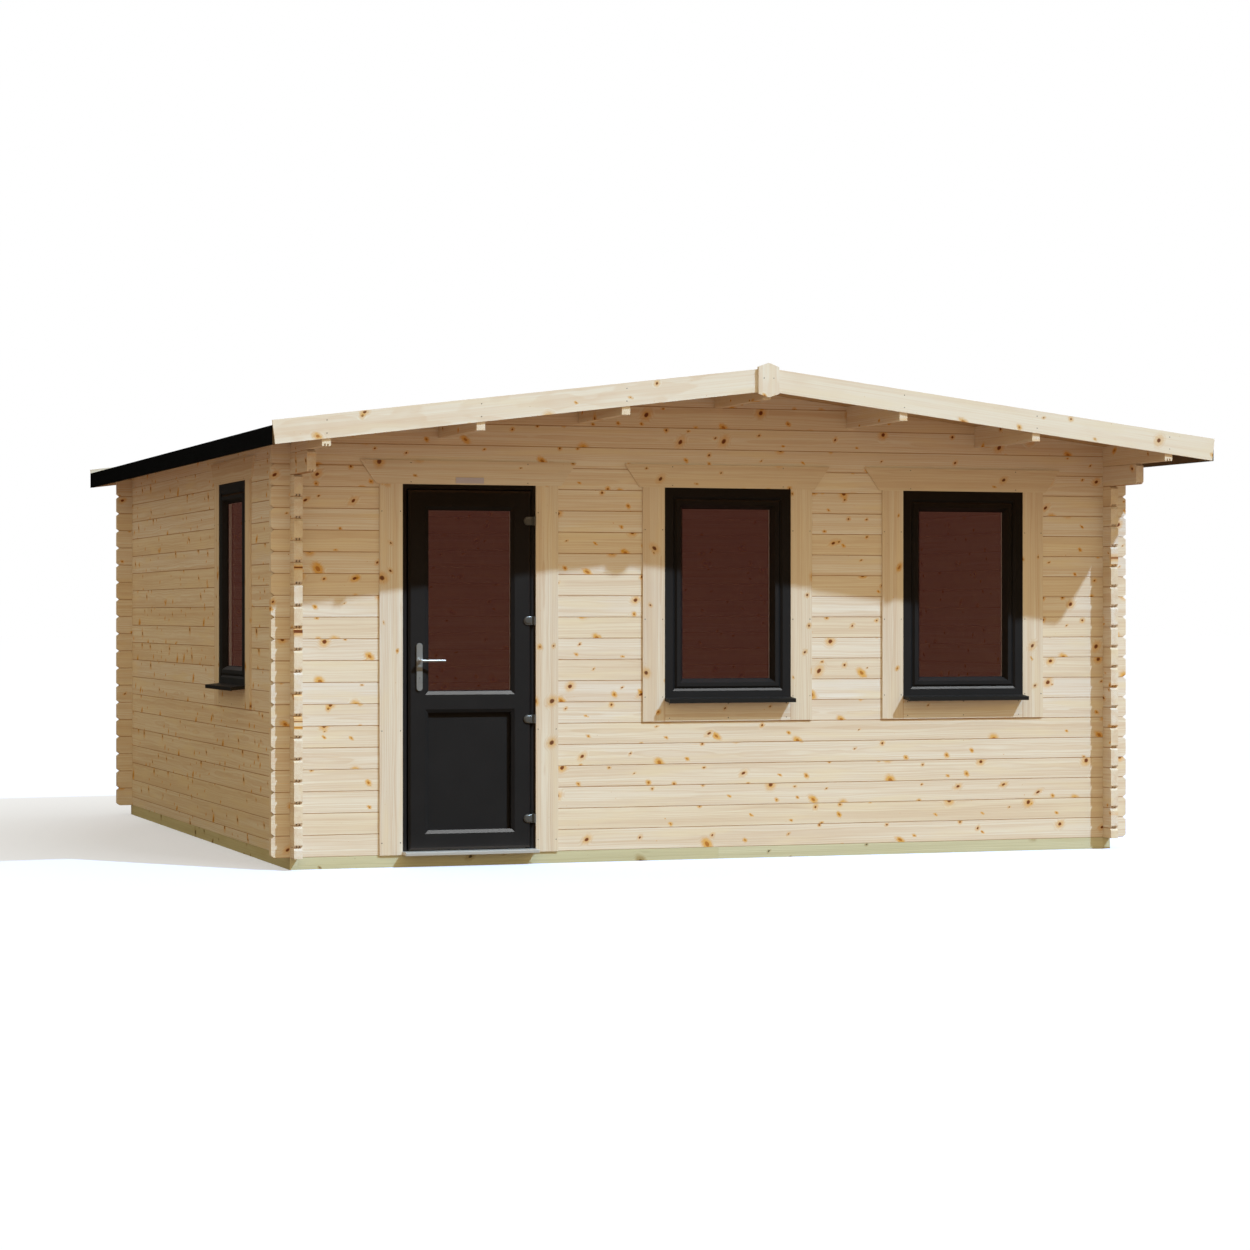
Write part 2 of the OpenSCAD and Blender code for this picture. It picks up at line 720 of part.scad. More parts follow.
// The cut for a pane or panel in a sash: a sloped bead, the sight opening and the glass groove
module glazing_cut(w, z0, h, slope_d, setback, thick) {
    sight_w = w - 2 * bead;
    sight_h = h - 2 * bead;
    hold = glass_hold + fit_gap;
    translate([0, 0, z0]) splay(w, h, bead, slope_d);
    translate([-sight_w / 2, 0, z0 + bead]) cube([sight_w, frame_d, sight_h]);
    translate([-sight_w / 2 - hold, setback, z0 + bead - hold])
        cube([sight_w + 2 * hold, thick + 2 * fit_gap, sight_h + 2 * hold]);
}

glass_t = 2 * pane_t + pane_gap;

// Two panes held in the groove that glazing_cut makes for the same opening
module glazing(w, z0, h, setback) {
    pane_w = w - 2 * bead + 2 * glass_hold;
    pane_h = h - 2 * bead + 2 * glass_hold;
    color(dark_glass) for (y = [0, pane_t + pane_gap])
        translate([-pane_w / 2, setback + fit_gap + y, z0 + bead - glass_hold])
            cube([pane_w, pane_t, pane_h]);
}

// Sizes of a window from its opening's foot: the frame, its opening at the face and behind the
// bevel, the sash and its light
window_frame_w = clear_w - 2 * fit_gap;
window_face_w = clear_w - 2 * frame_face;
window_face_z0 = sill_back_z + frame_foot;
window_face_h = window_clear_h - frame_face - window_face_z0;
window_open_w = window_face_w - 2 * frame_bevel_w;
window_open_z0 = window_face_z0 + frame_bevel_w;
window_open_h = window_face_h - 2 * frame_bevel_w;
window_sash_w = window_open_w - 2 * fit_gap;
window_sash_z0 = window_open_z0 + fit_gap;
window_sash_h = window_open_h - 2 * fit_gap;
window_light_w = window_sash_w - 2 * sash_w;
window_light_h = window_sash_h - 2 * sash_w;

module window_frame() {
    color(black_upvc) translate([0, window_face, 0]) difference() {
        translate([-window_frame_w / 2, 0, fit_gap])
            cube([window_frame_w, frame_d, window_clear_h - fit_gap]);
        translate([0, 0, window_face_z0])
            splay(window_face_w, window_face_h, frame_bevel_w, frame_bevel_d);
        translate([-window_open_w / 2, 0, window_open_z0])
            cube([window_open_w, frame_d + eps, window_open_h]);
    }
}

module window_sash() {
    color(black_upvc) translate([0, window_face, window_sash_z0]) difference() {
        bevelled_block(window_sash_w, window_sash_h, sash_d);
        glazing_cut(window_light_w, sash_w, window_light_h, bead_d, glass_setback, glass_t);
    }
}

module window_glass() {
    translate([0, window_face, window_sash_z0])
        glazing(window_light_w, sash_w, window_light_h, glass_setback);
}

module window_sill() {
    back = window_face;
    nose = -sill_out;
    top = sill_back_z;
    low = top - sill_t - sill_fall;
    color(black_upvc) translate([-clear_w / 2 + fit_gap, 0, 0]) rotate([90, 0, 90])
        linear_extrude(clear_w - 2 * fit_gap) polygon([[back, top], [back, top - sill_t],
            [nose + drip_w, low], [nose + drip_w, low - drip_h],
            [nose, low - drip_h], [nose, top - sill_fall]]);
}

module front_window_trim() {
    each_front_window() window_trim();
}

module front_window_frames() {
    each_front_window() window_frame();
}

module front_window_sashes() {
    each_front_window() window_sash();
}

module front_window_glass() {
    each_front_window() window_glass();
}

module front_window_sills() {
    each_front_window() window_sill();
}

module side_window_trim() {
    in_left_wall() window_trim();
}

module side_window_frame() {
    in_left_wall() window_frame();
}

module side_window_sash() {
    in_left_wall() window_sash();
}

module side_window_glass() {
    in_left_wall() window_glass();
}

module side_window_sill() {
    in_left_wall() window_sill();
}

door_clear_z = front_head_z - trim_lap - bearer_h;    // visible head above the bearers

module door_trim() {
    in_front_wall(door_x, bearer_h) trim(0, door_clear_z, -1);
}

module door_name_plate() {
    color(silver) in_front_wall(door_x, bearer_h)
        translate([-plate_w / 2, -trim_t - plate_t, door_clear_z + plate_rise])
            cube([plate_w, plate_t, plate_h]);
}

// Two jambs and a head, with a stop behind the leaf
module door_frame() {
    foot = bearer_h + threshold_h;
    top = leaf_z1 + leaf_gap;
    front = y_front + door_face;
    width = cut_w - 2 * frame_gap;
    color(black_upvc) difference() {
        translate([door_x - width / 2, front, foot])
            cube([width, frame_d, front_head_z - frame_gap - foot]);
        translate([jamb_x0, front - eps, foot - eps])
            cube([jamb_x1 - jamb_x0, stop_y0 - front + eps, top - foot + eps]);
        translate([stop_x0, front - eps, foot - eps])
            cube([stop_x1 - stop_x0, frame_d + 2 * eps, leaf_z1 - stop_cover - foot + eps]);
    }
}

module door_threshold() {
    back = door_face + frame_d;
    nose = -threshold_out;
    color(silver) {
        translate([door_x - clear_w / 2 + fit_gap, y_front, bearer_h]) rotate([90, 0, 90])
            linear_extrude(clear_w - 2 * fit_gap) polygon([[nose, 0], [back, 0],
                [back, threshold_h], [nose + nose_bevel_w, threshold_h],
                [nose, threshold_h - nose_bevel_h]]);
        translate([stop_x0 + fit_gap, stop_y0, bearer_h + threshold_h - eps])
            cube([stop_x1 - stop_x0 - 2 * fit_gap, y_front + back - stop_y0,
                leaf_gap + stop_cover + eps]);
    }
}

// The two lights of the door leaf: [foot, height]
leaf_w = leaf_x1 - leaf_x0;
light_w = leaf_w - 2 * stile_w;
upper_light = [mid_rail_z + mid_rail_w / 2, leaf_z1 - rail_w - mid_rail_z - mid_rail_w / 2];
lower_light = [leaf_z0 + rail_w, mid_rail_z - mid_rail_w / 2 - leaf_z0 - rail_w];

module in_leaf() {
    translate([(leaf_x0 + leaf_x1) / 2, leaf_y0, 0]) children();
}

module door_leaf() {
    color(black_upvc) difference() {
        in_leaf() translate([0, 0, leaf_z0]) bevelled_block(leaf_w, leaf_z1 - leaf_z0, leaf_d);
        in_leaf() {
            glazing_cut(light_w, upper_light[0], upper_light[1], leaf_bead_d,
                leaf_glass_setback, glass_t);
            glazing_cut(light_w, lower_light[0], lower_light[1], leaf_bead_d,
                panel_setback, panel_t);
        }
        translate([spindle_x, leaf_y0 - eps, handle_z]) rotate([-90, 0, 0])
            cylinder(r = spindle_r + 2 * spindle_gap, h = leaf_d + 2 * eps);
    }
}

module door_glass() {
    in_leaf() glazing(light_w, upper_light[0], upper_light[1], leaf_glass_setback);
}

module door_panel() {
    w = light_w - 2 * bead + 2 * glass_hold;
    h = lower_light[1] - 2 * bead + 2 * glass_hold;
    color(black_upvc) in_leaf() translate([-w / 2, panel_setback + fit_gap,
        lower_light[0] + bead - glass_hold]) cube([w, panel_t, h]);
}

pin_gap = 0.2;                             // running clearance round a hinge pin
post_w = hinge_frame_face - 4;             // the plate that carries a hinge on the frame
post_t = 3;
middle_h = hinge_h / 2;                    // the leaf's knuckle is half the hinge's height

// Flaps screwed to the leaf, round at one end, each with the middle knuckle of its hinge
module hinge_flaps() {
    face = leaf_y0 - hinge_y;
    round_x = -flap_l + hinge_h / 2;
    inner = -knuckle_r - knuckle_gap;
    color(hinge_grey) for (z = hinge_zs) translate([hinge_x, hinge_y, z]) difference() {
        union() {
            translate([0, 0, -middle_h / 2]) cylinder(r = knuckle_r, h = middle_h);
            translate([inner - eps, face - flap_t, -middle_h / 2])
                cube([eps - inner, flap_t, middle_h]);
            translate([round_x, face - flap_t, -hinge_h / 2])
                cube([inner - round_x, flap_t, hinge_h]);
            translate([round_x, face, 0]) rotate([90, 0, 0]) cylinder(d = hinge_h, h = flap_t);
        }
        translate([0, 0, -middle_h]) cylinder(r = pin_r + pin_gap, h = 2 * middle_h);
    }
}

// Outer knuckles and pins, on plates screwed to the frame
module hinge_posts() {
    frame_y = y_front + door_face - hinge_y;
    knuckle = (hinge_h - middle_h) / 2 - knuckle_gap;
    color(hinge_grey) for (z = hinge_zs) translate([hinge_x, hinge_y, z]) {
        cylinder(r = pin_r, h = hinge_h - 2 * eps, center = true);
        for (foot = [-hinge_h / 2, hinge_h / 2 - knuckle]) translate([0, 0, foot]) {
            cylinder(r = knuckle_r, h = knuckle);
            cube([knuckle_r, frame_y, knuckle]);
        }
        translate([-post_w / 2, frame_y - post_t, -hinge_h / 2]) cube([post_w, post_t, hinge_h]);
    }
}

// A plate with round ends on each face of the leaf
module handle_plates() {
    straight = handle_plate_h - handle_plate_w;
    middle = handle_z - spindle_rise;
    color(silver) for (y = [leaf_y0 - handle_plate_t, leaf_y1])
        translate([spindle_x, y, 0]) rotate([-90, 0, 0]) linear_extrude(handle_plate_t)
            difference() {
                union() {
                    for (end = [-1, 1]) translate([0, -middle + end * straight / 2])
                        circle(d = handle_plate_w);
                    translate([-handle_plate_w / 2, -middle - straight / 2])
                        square([handle_plate_w, straight]);
                }
                translate([0, -handle_z]) circle(r = spindle_r + spindle_gap);
            }
}

// Levers inside and outside on one spindle
module door_lever() {
    reach = handle_plate_t + lever_out;
    r = lever_dia / 2;
    hub_r = 11;
    hub_h = 8;
    neck = 0.5;                            // from the plate to the hub
    color(silver) translate([spindle_x, 0, handle_z]) {
        translate([0, leaf_y0 - reach, 0]) rotate([-90, 0, 0])
            cylinder(r = spindle_r, h = leaf_d + 2 * reach);
        for (side = [0, 1]) translate([0, side > 0 ? leaf_y1 : leaf_y0, 0]) mirror([0, 1 - side, 0]) {
            translate([0, handle_plate_t + neck, 0]) rotate([-90, 0, 0]) cylinder(r = hub_r, h = hub_h);
            translate([0, handle_plate_t + neck, 0]) rotate([-90, 0, 0])
                cylinder(r = r, h = lever_out - neck - r);
            translate([0, reach - r, 0]) sphere(r = r);
            translate([0, reach - r, 0]) rotate([0, 90, 0]) cylinder(r = r, h = lever_l - r);
            translate([lever_l - r, reach - r, 0]) sphere(r = r);
        }
    }
}

bearers();
floor_joists();
floor_boards();
front_wall_left();
front_wall_low();
front_wall_piers();
front_wall_head();
front_gable();
left_wall_low();
left_wall_piers();
left_wall_head();
right_wall();
back_wall();
back_gable();
eaves_logs();
purlins();
roof_boards_left();
roof_boards_right();
roof_felt();
eaves_fascias();
front_barge_boards();
back_barge_boards();
ridge_plaques();
door_trim();
door_name_plate();
door_frame();
door_threshold();
door_leaf();
door_glass();
door_panel();
hinge_flaps();
hinge_posts();
handle_plates();
door_lever();
front_window_trim();
front_window_frames();
front_window_sashes();
front_window_glass();
front_window_sills();
side_window_trim();
side_window_frame();
side_window_sash();
side_window_glass();
side_window_sill();
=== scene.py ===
import math

import bmesh
import bpy
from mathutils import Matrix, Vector


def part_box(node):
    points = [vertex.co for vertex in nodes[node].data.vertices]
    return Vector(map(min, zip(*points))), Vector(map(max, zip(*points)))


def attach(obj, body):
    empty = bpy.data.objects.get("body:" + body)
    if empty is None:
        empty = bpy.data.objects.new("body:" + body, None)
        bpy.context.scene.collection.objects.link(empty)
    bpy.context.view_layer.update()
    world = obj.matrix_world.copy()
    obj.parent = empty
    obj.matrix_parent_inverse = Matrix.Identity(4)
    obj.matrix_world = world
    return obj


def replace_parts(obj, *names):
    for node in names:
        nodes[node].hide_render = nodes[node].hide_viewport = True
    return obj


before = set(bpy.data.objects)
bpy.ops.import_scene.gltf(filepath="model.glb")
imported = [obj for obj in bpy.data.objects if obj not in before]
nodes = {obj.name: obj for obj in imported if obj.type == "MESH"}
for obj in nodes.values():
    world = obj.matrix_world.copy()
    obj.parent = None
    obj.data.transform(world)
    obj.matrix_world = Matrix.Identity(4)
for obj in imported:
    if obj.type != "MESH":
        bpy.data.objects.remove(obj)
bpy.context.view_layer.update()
scene = bpy.context.scene
scene.view_settings.view_transform = "Standard"


# ---------------------------------------------------------------------------------------------
# Viewpoint. The cabin is seen from a standing person's eye height, a good way in front of its
# left corner, so that the gable front and the left wall both show.
# ---------------------------------------------------------------------------------------------
eye = bpy.data.cameras.new("eye")
eye.sensor_width = 36
eye.lens = 90.29
eye.shift_y = -0.0085                      # the horizon lies a little above the middle of the view
camera = bpy.data.objects.new("camera", eye)
camera.location = (-5.9675, -18.1238, 1.3325)
camera.rotation_euler = (math.radians(90), 0, math.radians(-18.716))
scene.collection.objects.link(camera)
scene.camera = camera


# ---------------------------------------------------------------------------------------------
# Studio. A white floor and dome, one large lamp high to the right as the sun, and a ring of
# black flags round a dark card, which only mirrors see, to keep the satin black frames dark.
# ---------------------------------------------------------------------------------------------
class Wire:
    """An output socket. Arithmetic on it adds Math nodes to its tree."""

    def __init__(self, tree, socket):
        self.tree = tree
        self.socket = socket

    def math(self, operation, *values):
        return self.tree.node("ShaderNodeMath", "Value", {"operation": operation},
                              dict(enumerate(values)))

    def __add__(self, other):
        return self.math("ADD", self, other)

    def __radd__(self, other):
        return self.math("ADD", other, self)

    def __sub__(self, other):
        return self.math("SUBTRACT", self, other)

    def __rsub__(self, other):
        return self.math("SUBTRACT", other, self)

    def __mul__(self, other):
        return self.math("MULTIPLY", self, other)

    def __rmul__(self, other):
        return self.math("MULTIPLY", other, self)

    def __truediv__(self, other):
        return self.math("DIVIDE", self, other)

    def __rtruediv__(self, other):
        return self.math("DIVIDE", other, self)

    def __pow__(self, other):
        return self.math("POWER", self, other)

    def __gt__(self, other):
        return self.math("GREATER_THAN", self, other)

    def __lt__(self, other):
        return self.math("LESS_THAN", self, other)

    def __abs__(self):
        return self.math("ABSOLUTE", self)

    def floor(self):
        return self.math("FLOOR", self)

    def largest(self, other):
        return self.math("MAXIMUM", self, other)

    def smallest(self, other):
        return self.math("MINIMUM", self, other)

    def ramp(self, start, end):
        """A smooth step from 0 at start to 1 at end."""
        return self.tree.node("ShaderNodeMapRange", "Result", {"interpolation_type": "SMOOTHSTEP"},
                              {"Value": self, "From Min": start, "From Max": end})


class Tree:
    """A node tree, and the one way in which nodes are added to it."""

    def __init__(self, node_tree):
        self.node_tree = node_tree

    def node(self, kind, outputs, settings=None, sockets=None):
        made = self.node_tree.nodes.new(kind)
        for name, value in (settings or {}).items():
            setattr(made, name, value)
        for key, value in (sockets or {}).items():
            self.join(value, self.find(made.inputs, key))
        names = [outputs] if isinstance(outputs, str) else outputs
        wires = [Wire(self, self.find(made.outputs, name)) for name in names]
        return wires[0] if isinstance(outputs, str) else wires

    def find(self, sockets, key):
        """The socket with this index, identifier or name."""
        if isinstance(key, int):
            return sockets[key]
        return [socket for socket in sockets if key in (socket.identifier, socket.name)][0]

    def join(self, value, socket):
        if isinstance(value, Wire):
            self.node_tree.links.new(value.socket, socket)
        else:
            socket.default_value = value

    def vector(self, x, y, z):
        return self.node("ShaderNodeCombineXYZ", "Vector", None, {"X": x, "Y": y, "Z": z})

    def parts(self, vector):
        return self.node("ShaderNodeSeparateXYZ", ("X", "Y", "Z"), None, {"Vector": vector})

    def blend(self, mask, first, second):
        return self.node("ShaderNodeMix", "Result_Color", {"data_type": "RGBA"},
                         {"Factor_Float": mask, "A_Color": first, "B_Color": second})

    def noise(self, vector, scale=1.0, detail=2.0, roughness=0.5):
        return self.node("ShaderNodeTexNoise", "Fac", {"noise_dimensions": "3D"},
                         {"Vector": vector, "Scale": scale, "Detail": detail,
                          "Roughness": roughness})

    def mix_shader(self, mask, first, second):
        return self.node("ShaderNodeMixShader", "Shader", None, {0: mask, 1: first, 2: second})


def stage_mesh(name, points, faces, material):
    mesh = bpy.data.meshes.new(name)
    mesh.from_pydata(points, [], faces)
    mesh.materials.append(material)
    thing = bpy.data.objects.new(name, mesh)
    scene.collection.objects.link(thing)
    return thing


def plain_tree(name):
    """A material with an empty tree, and that tree's output node."""
    material = bpy.data.materials.new(name)
    material.use_nodes = True
    material.node_tree.nodes.clear()
    return material, Tree(material.node_tree)


def white_for_mirrors(tree, lit):
    """Shows plain white to mirrors and glass, and the lit surface to everything else."""
    glossy, through = tree.node("ShaderNodeLightPath", ("Is Glossy Ray", "Is Transmission Ray"))
    white = tree.node("ShaderNodeEmission", "Emission", None, {"Color": (1, 1, 1, 1)})
    return tree.mix_shader(glossy.largest(through), lit, white)


sun_towards = Vector((0.445, -0.568, 0.692))
sun_colour = (0.53, 0.77, 1.0)
sun_power = 3.15
sun_width = math.radians(1.3)
dome_colour = (0.675, 0.587, 0.358, 1)
dome_front = (0.25, -0.425, 0.0)           # how the dome brightens towards the front and right
floor_bounce = (0.45, 0.285, 0.19, 1)       # what the floor throws back on the walls
floor_shade = (1.03, 1.15, 1.68, 1)        # makes the warm shadow on the floor a neutral grey
floor_half = 150.0
shadow_depth = 0.72
shadow_radius = 2.9                        # beyond which the shadow thins out
shadow_fall = 1.15                         # how fast it does

floor_material, floor_tree = plain_tree("studio_floor")
place = floor_tree.node("ShaderNodeTexCoord", "Object")
fx, fy, _ = floor_tree.parts(place)
away = (fx * fx + fy * fy) ** 0.5
depth = (shadow_depth * (shadow_radius / away.largest(0.1)) ** shadow_fall).smallest(
    shadow_depth)
white = floor_tree.node("ShaderNodeEmission", "Emission", None, {"Color": (1, 1, 1, 1)})
shaded = floor_tree.node("ShaderNodeBsdfDiffuse", "BSDF", None, {"Color": floor_shade})
bounce = floor_tree.node("ShaderNodeBsdfDiffuse", "BSDF", None, {"Color": floor_bounce})
seen = floor_tree.node("ShaderNodeLightPath", "Is Camera Ray")
floor_look = floor_tree.mix_shader(seen, bounce, floor_tree.mix_shader(depth, white, shaded))
floor_tree.node("ShaderNodeOutputMaterial", (), None,
                {"Surface": white_for_mirrors(floor_tree, floor_look)})
stage_mesh("floor", [(x * floor_half, y * floor_half, 0) for x, y in
                     ((-1, -1), (1, -1), (1, 1), (-1, 1))], [(0, 1, 2, 3)], floor_material)

dome = bpy.data.worlds.new("dome")
dome.use_nodes = True
dome.node_tree.nodes.clear()
dome_tree = Tree(dome.node_tree)
seen, glossy, through = dome_tree.node(
    "ShaderNodeLightPath", ("Is Camera Ray", "Is Glossy Ray", "Is Transmission Ray"))
backdrop = dome_tree.node("ShaderNodeBackground", "Background", None, {"Color": (1, 1, 1, 1)})
heading = dome_tree.node("ShaderNodeVectorMath", "Value", {"operation": "DOT_PRODUCT"}, {
    0: dome_tree.node("ShaderNodeTexCoord", "Generated"), 1: dome_front})
fill = dome_tree.node("ShaderNodeBackground", "Background", None, {
    "Color": dome_colour, "Strength": 1 + heading})
dome_tree.node("ShaderNodeOutputWorld", (), None, {"Surface": dome_tree.mix_shader(
    seen.largest(glossy).largest(through), fill, backdrop)})
scene.world = dome

sun = bpy.data.lights.new("sun", "SUN")
sun.energy = sun_power
sun.color = sun_colour
sun.angle = sun_width
sun_lamp = bpy.data.objects.new("sun", sun)
sun_lamp.rotation_euler = sun_towards.to_track_quat("Z", "Y").to_euler()
scene.collection.objects.link(sun_lamp)

flag_radius = 7.6
flag_height = 5.0
flag_foot = 0.002                          # keeps the dark card off the floor
flag_sides = 48
flag_black = (0.04, 0.04, 0.04, 1)
flag_material, flag_tree = plain_tree("black_flag")
flag_tree.node("ShaderNodeOutputMaterial", (), None, {"Surface": flag_tree.node(
    "ShaderNodeBsdfDiffuse", "BSDF", None, {"Color": flag_black})})
turns = [2 * math.pi * i / flag_sides for i in range(flag_sides)]
ring = [(flag_radius * math.cos(t), flag_radius * math.sin(t), z)
        for z in (flag_foot, flag_height) for t in turns]
flags = stage_mesh("black_flags", ring, [tuple(range(flag_sides))] + [
    (i, (i + 1) % flag_sides, flag_sides + (i + 1) % flag_sides, flag_sides + i)
    for i in range(flag_sides)], flag_material)
flags.visible_camera = False
flags.visible_diffuse = False
flags.visible_transmission = False
flags.visible_shadow = False


# ---------------------------------------------------------------------------------------------
# Bearers and floor joists. Sawn softwood, pressure treated to a grey-green, laid on the base
# with the front and back bearers butt-jointed in the middle.
# ---------------------------------------------------------------------------------------------
class Finish(Tree):
    """A material built on the Principled shader, from where a point is on the object."""

    def __init__(self, name, **uniform):
        self.material = bpy.data.materials.new(name)
        self.material.use_nodes = True
        super().__init__(self.material.node_tree)
        self.shader = self.node_tree.nodes["Principled BSDF"]
        self.set(**uniform)
        place = self.node("ShaderNodeTexCoord", "Object")
        self.place = place
        self.x, self.y, self.z = self.parts(place)

    def set(self, **values):
        for name, value in values.items():
            self.join(value, self.shader.inputs[name.replace("_", " ")])

    def bump(self, height, distance, strength=1.0):
        self.set(Normal=self.node("ShaderNodeBump", "Normal", None, {
            "Height": height, "Distance": distance, "Strength": strength}))

    def coat(self, *names):
        for name in names:
            for holder in nodes[name].material_slots:
                holder.material = self.material


# Of each size of knot: the cell that holds one, the least and largest radius, and the share of
# the cells that have one.
small_knots = (0.115, 0.0026, 0.0068, 0.46)
big_knots = (0.190, 0.0062, 0.0132, 0.44)
knot_stretch = 1.25                        # of a knot's cell along the grain
knot_wobble = 0.014                        # how far the edge of a knot wanders
no_knot = 0.0001                           # the radius in a cell that has no knot


def knots(look, along, across, kind, knot_share):
    """Knots of one size class: masks of the core and of the flame of resin-stained wood that
    runs out of it along the grain, the bulge that it makes, and a random tint."""
    cell, smallest, largest, share = kind
    wobble = (look.noise(look.vector(along, across, cell), 70.0, 3.0) - 0.5) * knot_wobble
    spot = look.vector(along / (knot_stretch * cell), across / cell, 0.0)
    colour, middle = look.node("ShaderNodeTexVoronoi", ("Color", "Position"),
                               {"voronoi_dimensions": "2D"}, {"Vector": spot, "Scale": 1.0})
    chance, tint, size = look.parts(colour)
    middle_along, middle_across, _ = look.parts(middle)
    off_along = along - middle_along * (knot_stretch * cell)
    off_across = across - middle_across * cell + off_along * (tint - 0.5) * 0.9
    radius = ((smallest + (largest - smallest) * size ** 1.5)
              * (chance < share * knot_share)).largest(no_knot)
    near = ((off_along * (0.55 + 0.5 * size)) ** 2 + off_across ** 2) ** 0.5
    reach = (near + wobble * 0.5) / radius
    streak = look.noise(look.vector(along * 60, across * 190, tint * 9), 1.0, 2.0)
    core = 1 - reach.ramp(0.70, 1.15)
    flame = (1 - ((near + wobble) / radius).ramp(1.1, 3.8)) * (0.30 + 1.4 * streak)
    swell = radius * (1 - reach.ramp(0.8, 4.5))
    return core, flame, swell, tint


# The colour of a joint: dust there, and painted shade of the groove or gap between the boards.
joint_dust_and_shade = (0.46, 0.22, 0.075, 1)
board_shift = 7.31                         # how far the pattern moves on from board to board
pith_behind = 0.020                        # least depth of a pith behind its board's middle
pith_deeper = 0.06                         # how much deeper it may lie
pith_aside = 0.10                          # the width over which the piths are spread
pith_sway = 0.05                           # how far a pith wanders along its board
ring_narrow = 0.0045                       # width of the narrowest growth rings
ring_wider = 0.0050                        # how much wider the widest ones are
ring_ripple = 0.010                        # how unevenly they run
ring_bend = 1.4                            # how strongly they bend round a knot


def softwood(look, along, across, depth, board, tones, knot_share=1.0, joint=0.0):
    """Sawn and planed softwood: growth rings round a pith of its own for every board, fibres
    drawn out along it, and knots that the grain bends round.
    along, across and depth are in metres: along the grain, across the board from its middle and
    through its thickness. board is a number that tells the boards apart, so each group of
    timbers starts from one of its own. joint masks the V of a joint, whose wood is darkened by
    dust and by painted shade of the groove; tones are the wood, late wood, stain, resin, knot and
    the knot's rim."""
    clear, late, honey, amber, heart, rim = tones
    pick = look.node("ShaderNodeTexWhiteNoise", "Color", {"noise_dimensions": "1D"}, {"W": board})
    first, second, third = look.parts(pick)
    run = along + board * board_shift
    small = knots(look, run, across, small_knots, knot_share)
    big = knots(look, run + 3.7, across + 0.4, big_knots, knot_share)
    swell = small[2] + big[2]

    def streaks(length, width, detail, roughness=0.5):
        """Noise drawn out along the grain, with one scale along the board and one across it."""
        return look.noise(look.vector(run * length, across * width, depth * width), 1.0, detail,
                          roughness)

    sway = look.noise(look.vector(run * 0.9, board, 0.0), 1.0, 1.0) - 0.5
    ripple = streaks(3, 9, 2.0) - 0.5
    up = across - (first - 0.5) * pith_aside + sway * pith_sway
    back = depth + pith_behind + second * pith_deeper
    pith = (up * up + back * back) ** 0.5 + ripple * ring_ripple + swell * ring_bend
    rings = pith / (ring_narrow + third * ring_wider)
    turn = rings - rings.floor()
    late_wood = turn.ramp(0.35, 0.90) * (1 - turn.ramp(0.90, 1.0))
    fibre = streaks(9, 420, 2.0)
    grain = streaks(1.6, 150, 3.0, 0.6)
    bands = streaks(0.5, 26, 3.0)
    smear = streaks(1.7, 13, 3.0).ramp(0.50, 0.70)
    pitch_line = streaks(4, 130, 2.0)

    colour = look.blend(first * 0.70, clear, honey)
    colour = look.blend(bands.ramp(0.38, 0.72) * 0.48, colour, late)
    colour = look.blend(late_wood * (0.25 + 0.35 * bands), colour, late)
    colour = look.blend(grain.ramp(0.42, 0.72) * 0.45, colour, late)
    colour = look.blend(smear * 0.62, colour, honey)
    colour = look.blend((fibre - 0.35) * 0.35, colour, late)
    colour = look.blend(pitch_line.ramp(0.73, 0.80) * 0.55, colour, amber)
    for core, flame, _, tint in (small, big):
        colour = look.blend((flame * (0.45 + 0.55 * tint)).smallest(0.9), colour, amber)
        colour = look.blend(core * 0.96, colour, look.blend(tint.ramp(0.3, 0.75), rim, heart))
        colour = look.blend(core * (1 - core) * 2.2, colour, heart)
    colour = look.blend(joint, colour, joint_dust_and_shade)
    look.set(Base_Color=colour, Roughness=0.58 + 0.14 * fibre)
    look.bump(fibre * 0.5 + late_wood * 0.35 - small[0] * 0.6 - big[0] * 0.6, 0.0006)
    return look


mid_y = 0.3                                # about halfway between the front and back walls
bearer_width = 0.046
bearer_middle = 0.03                       # height of the middle of a bearer
timber_cell = 0.2                          # tells timbers that lie side by side apart
side_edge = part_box("bearers")[1].x - bearer_width
joist_end = abs(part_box("floor_joists")[0].y - mid_y)
green = ((0.68, 0.66, 0.48, 1), (0.50, 0.46, 0.29, 1), (0.58, 0.54, 0.34, 1),
         (0.38, 0.27, 0.11, 1), (0.22, 0.14, 0.05, 1), (0.07, 0.06, 0.03, 1))
treated = Finish("treated_pine", Specular_IOR_Level=0.25)
lengthways = (abs(treated.x) > side_edge).largest(abs(treated.y - mid_y) < joist_end)
along = treated.x + (treated.y - treated.x) * lengthways
depth = treated.y + (treated.x - treated.y) * lengthways
timber = (depth / timber_cell).floor()
softwood(treated, along, treated.z - bearer_middle,
         depth - timber * timber_cell - timber_cell / 2,
         timber + (treated.x > 0) * 31, green, 0.7)
treated.coat("bearers", "floor_joists")


# ---------------------------------------------------------------------------------------------
# Log walls. Planed 45 mm spruce logs, tongued and grooved along their edges and halved over each
# other at the corners, left bare, with the growth rings showing on their sawn ends.
# ---------------------------------------------------------------------------------------------
spruce = ((0.85, 0.81, 0.775, 1), (0.67, 0.50, 0.35, 1), (0.82, 0.705, 0.52, 1),
          (0.74, 0.39, 0.06, 1), (0.48, 0.18, 0.028, 1), (0.17, 0.034, 0.003, 1))
log_height = 0.114
joint_reach = 0.0028                       # of the darkened wood, to each side of a joint
joint_core = 0.001                         # of the full darkness there
# How strongly a joint is darkened, with dust and painted shade.
joint_dark = 0.80
side_log_x = 2.3575                        # the middle of a side wall's logs
end_log_y = 2.3875                         # the middle of the front and back logs, from mid_y
front_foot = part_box("front_wall_left")[0].z
side_foot = front_foot + log_height / 2
front_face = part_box("front_wall_low")[0].y
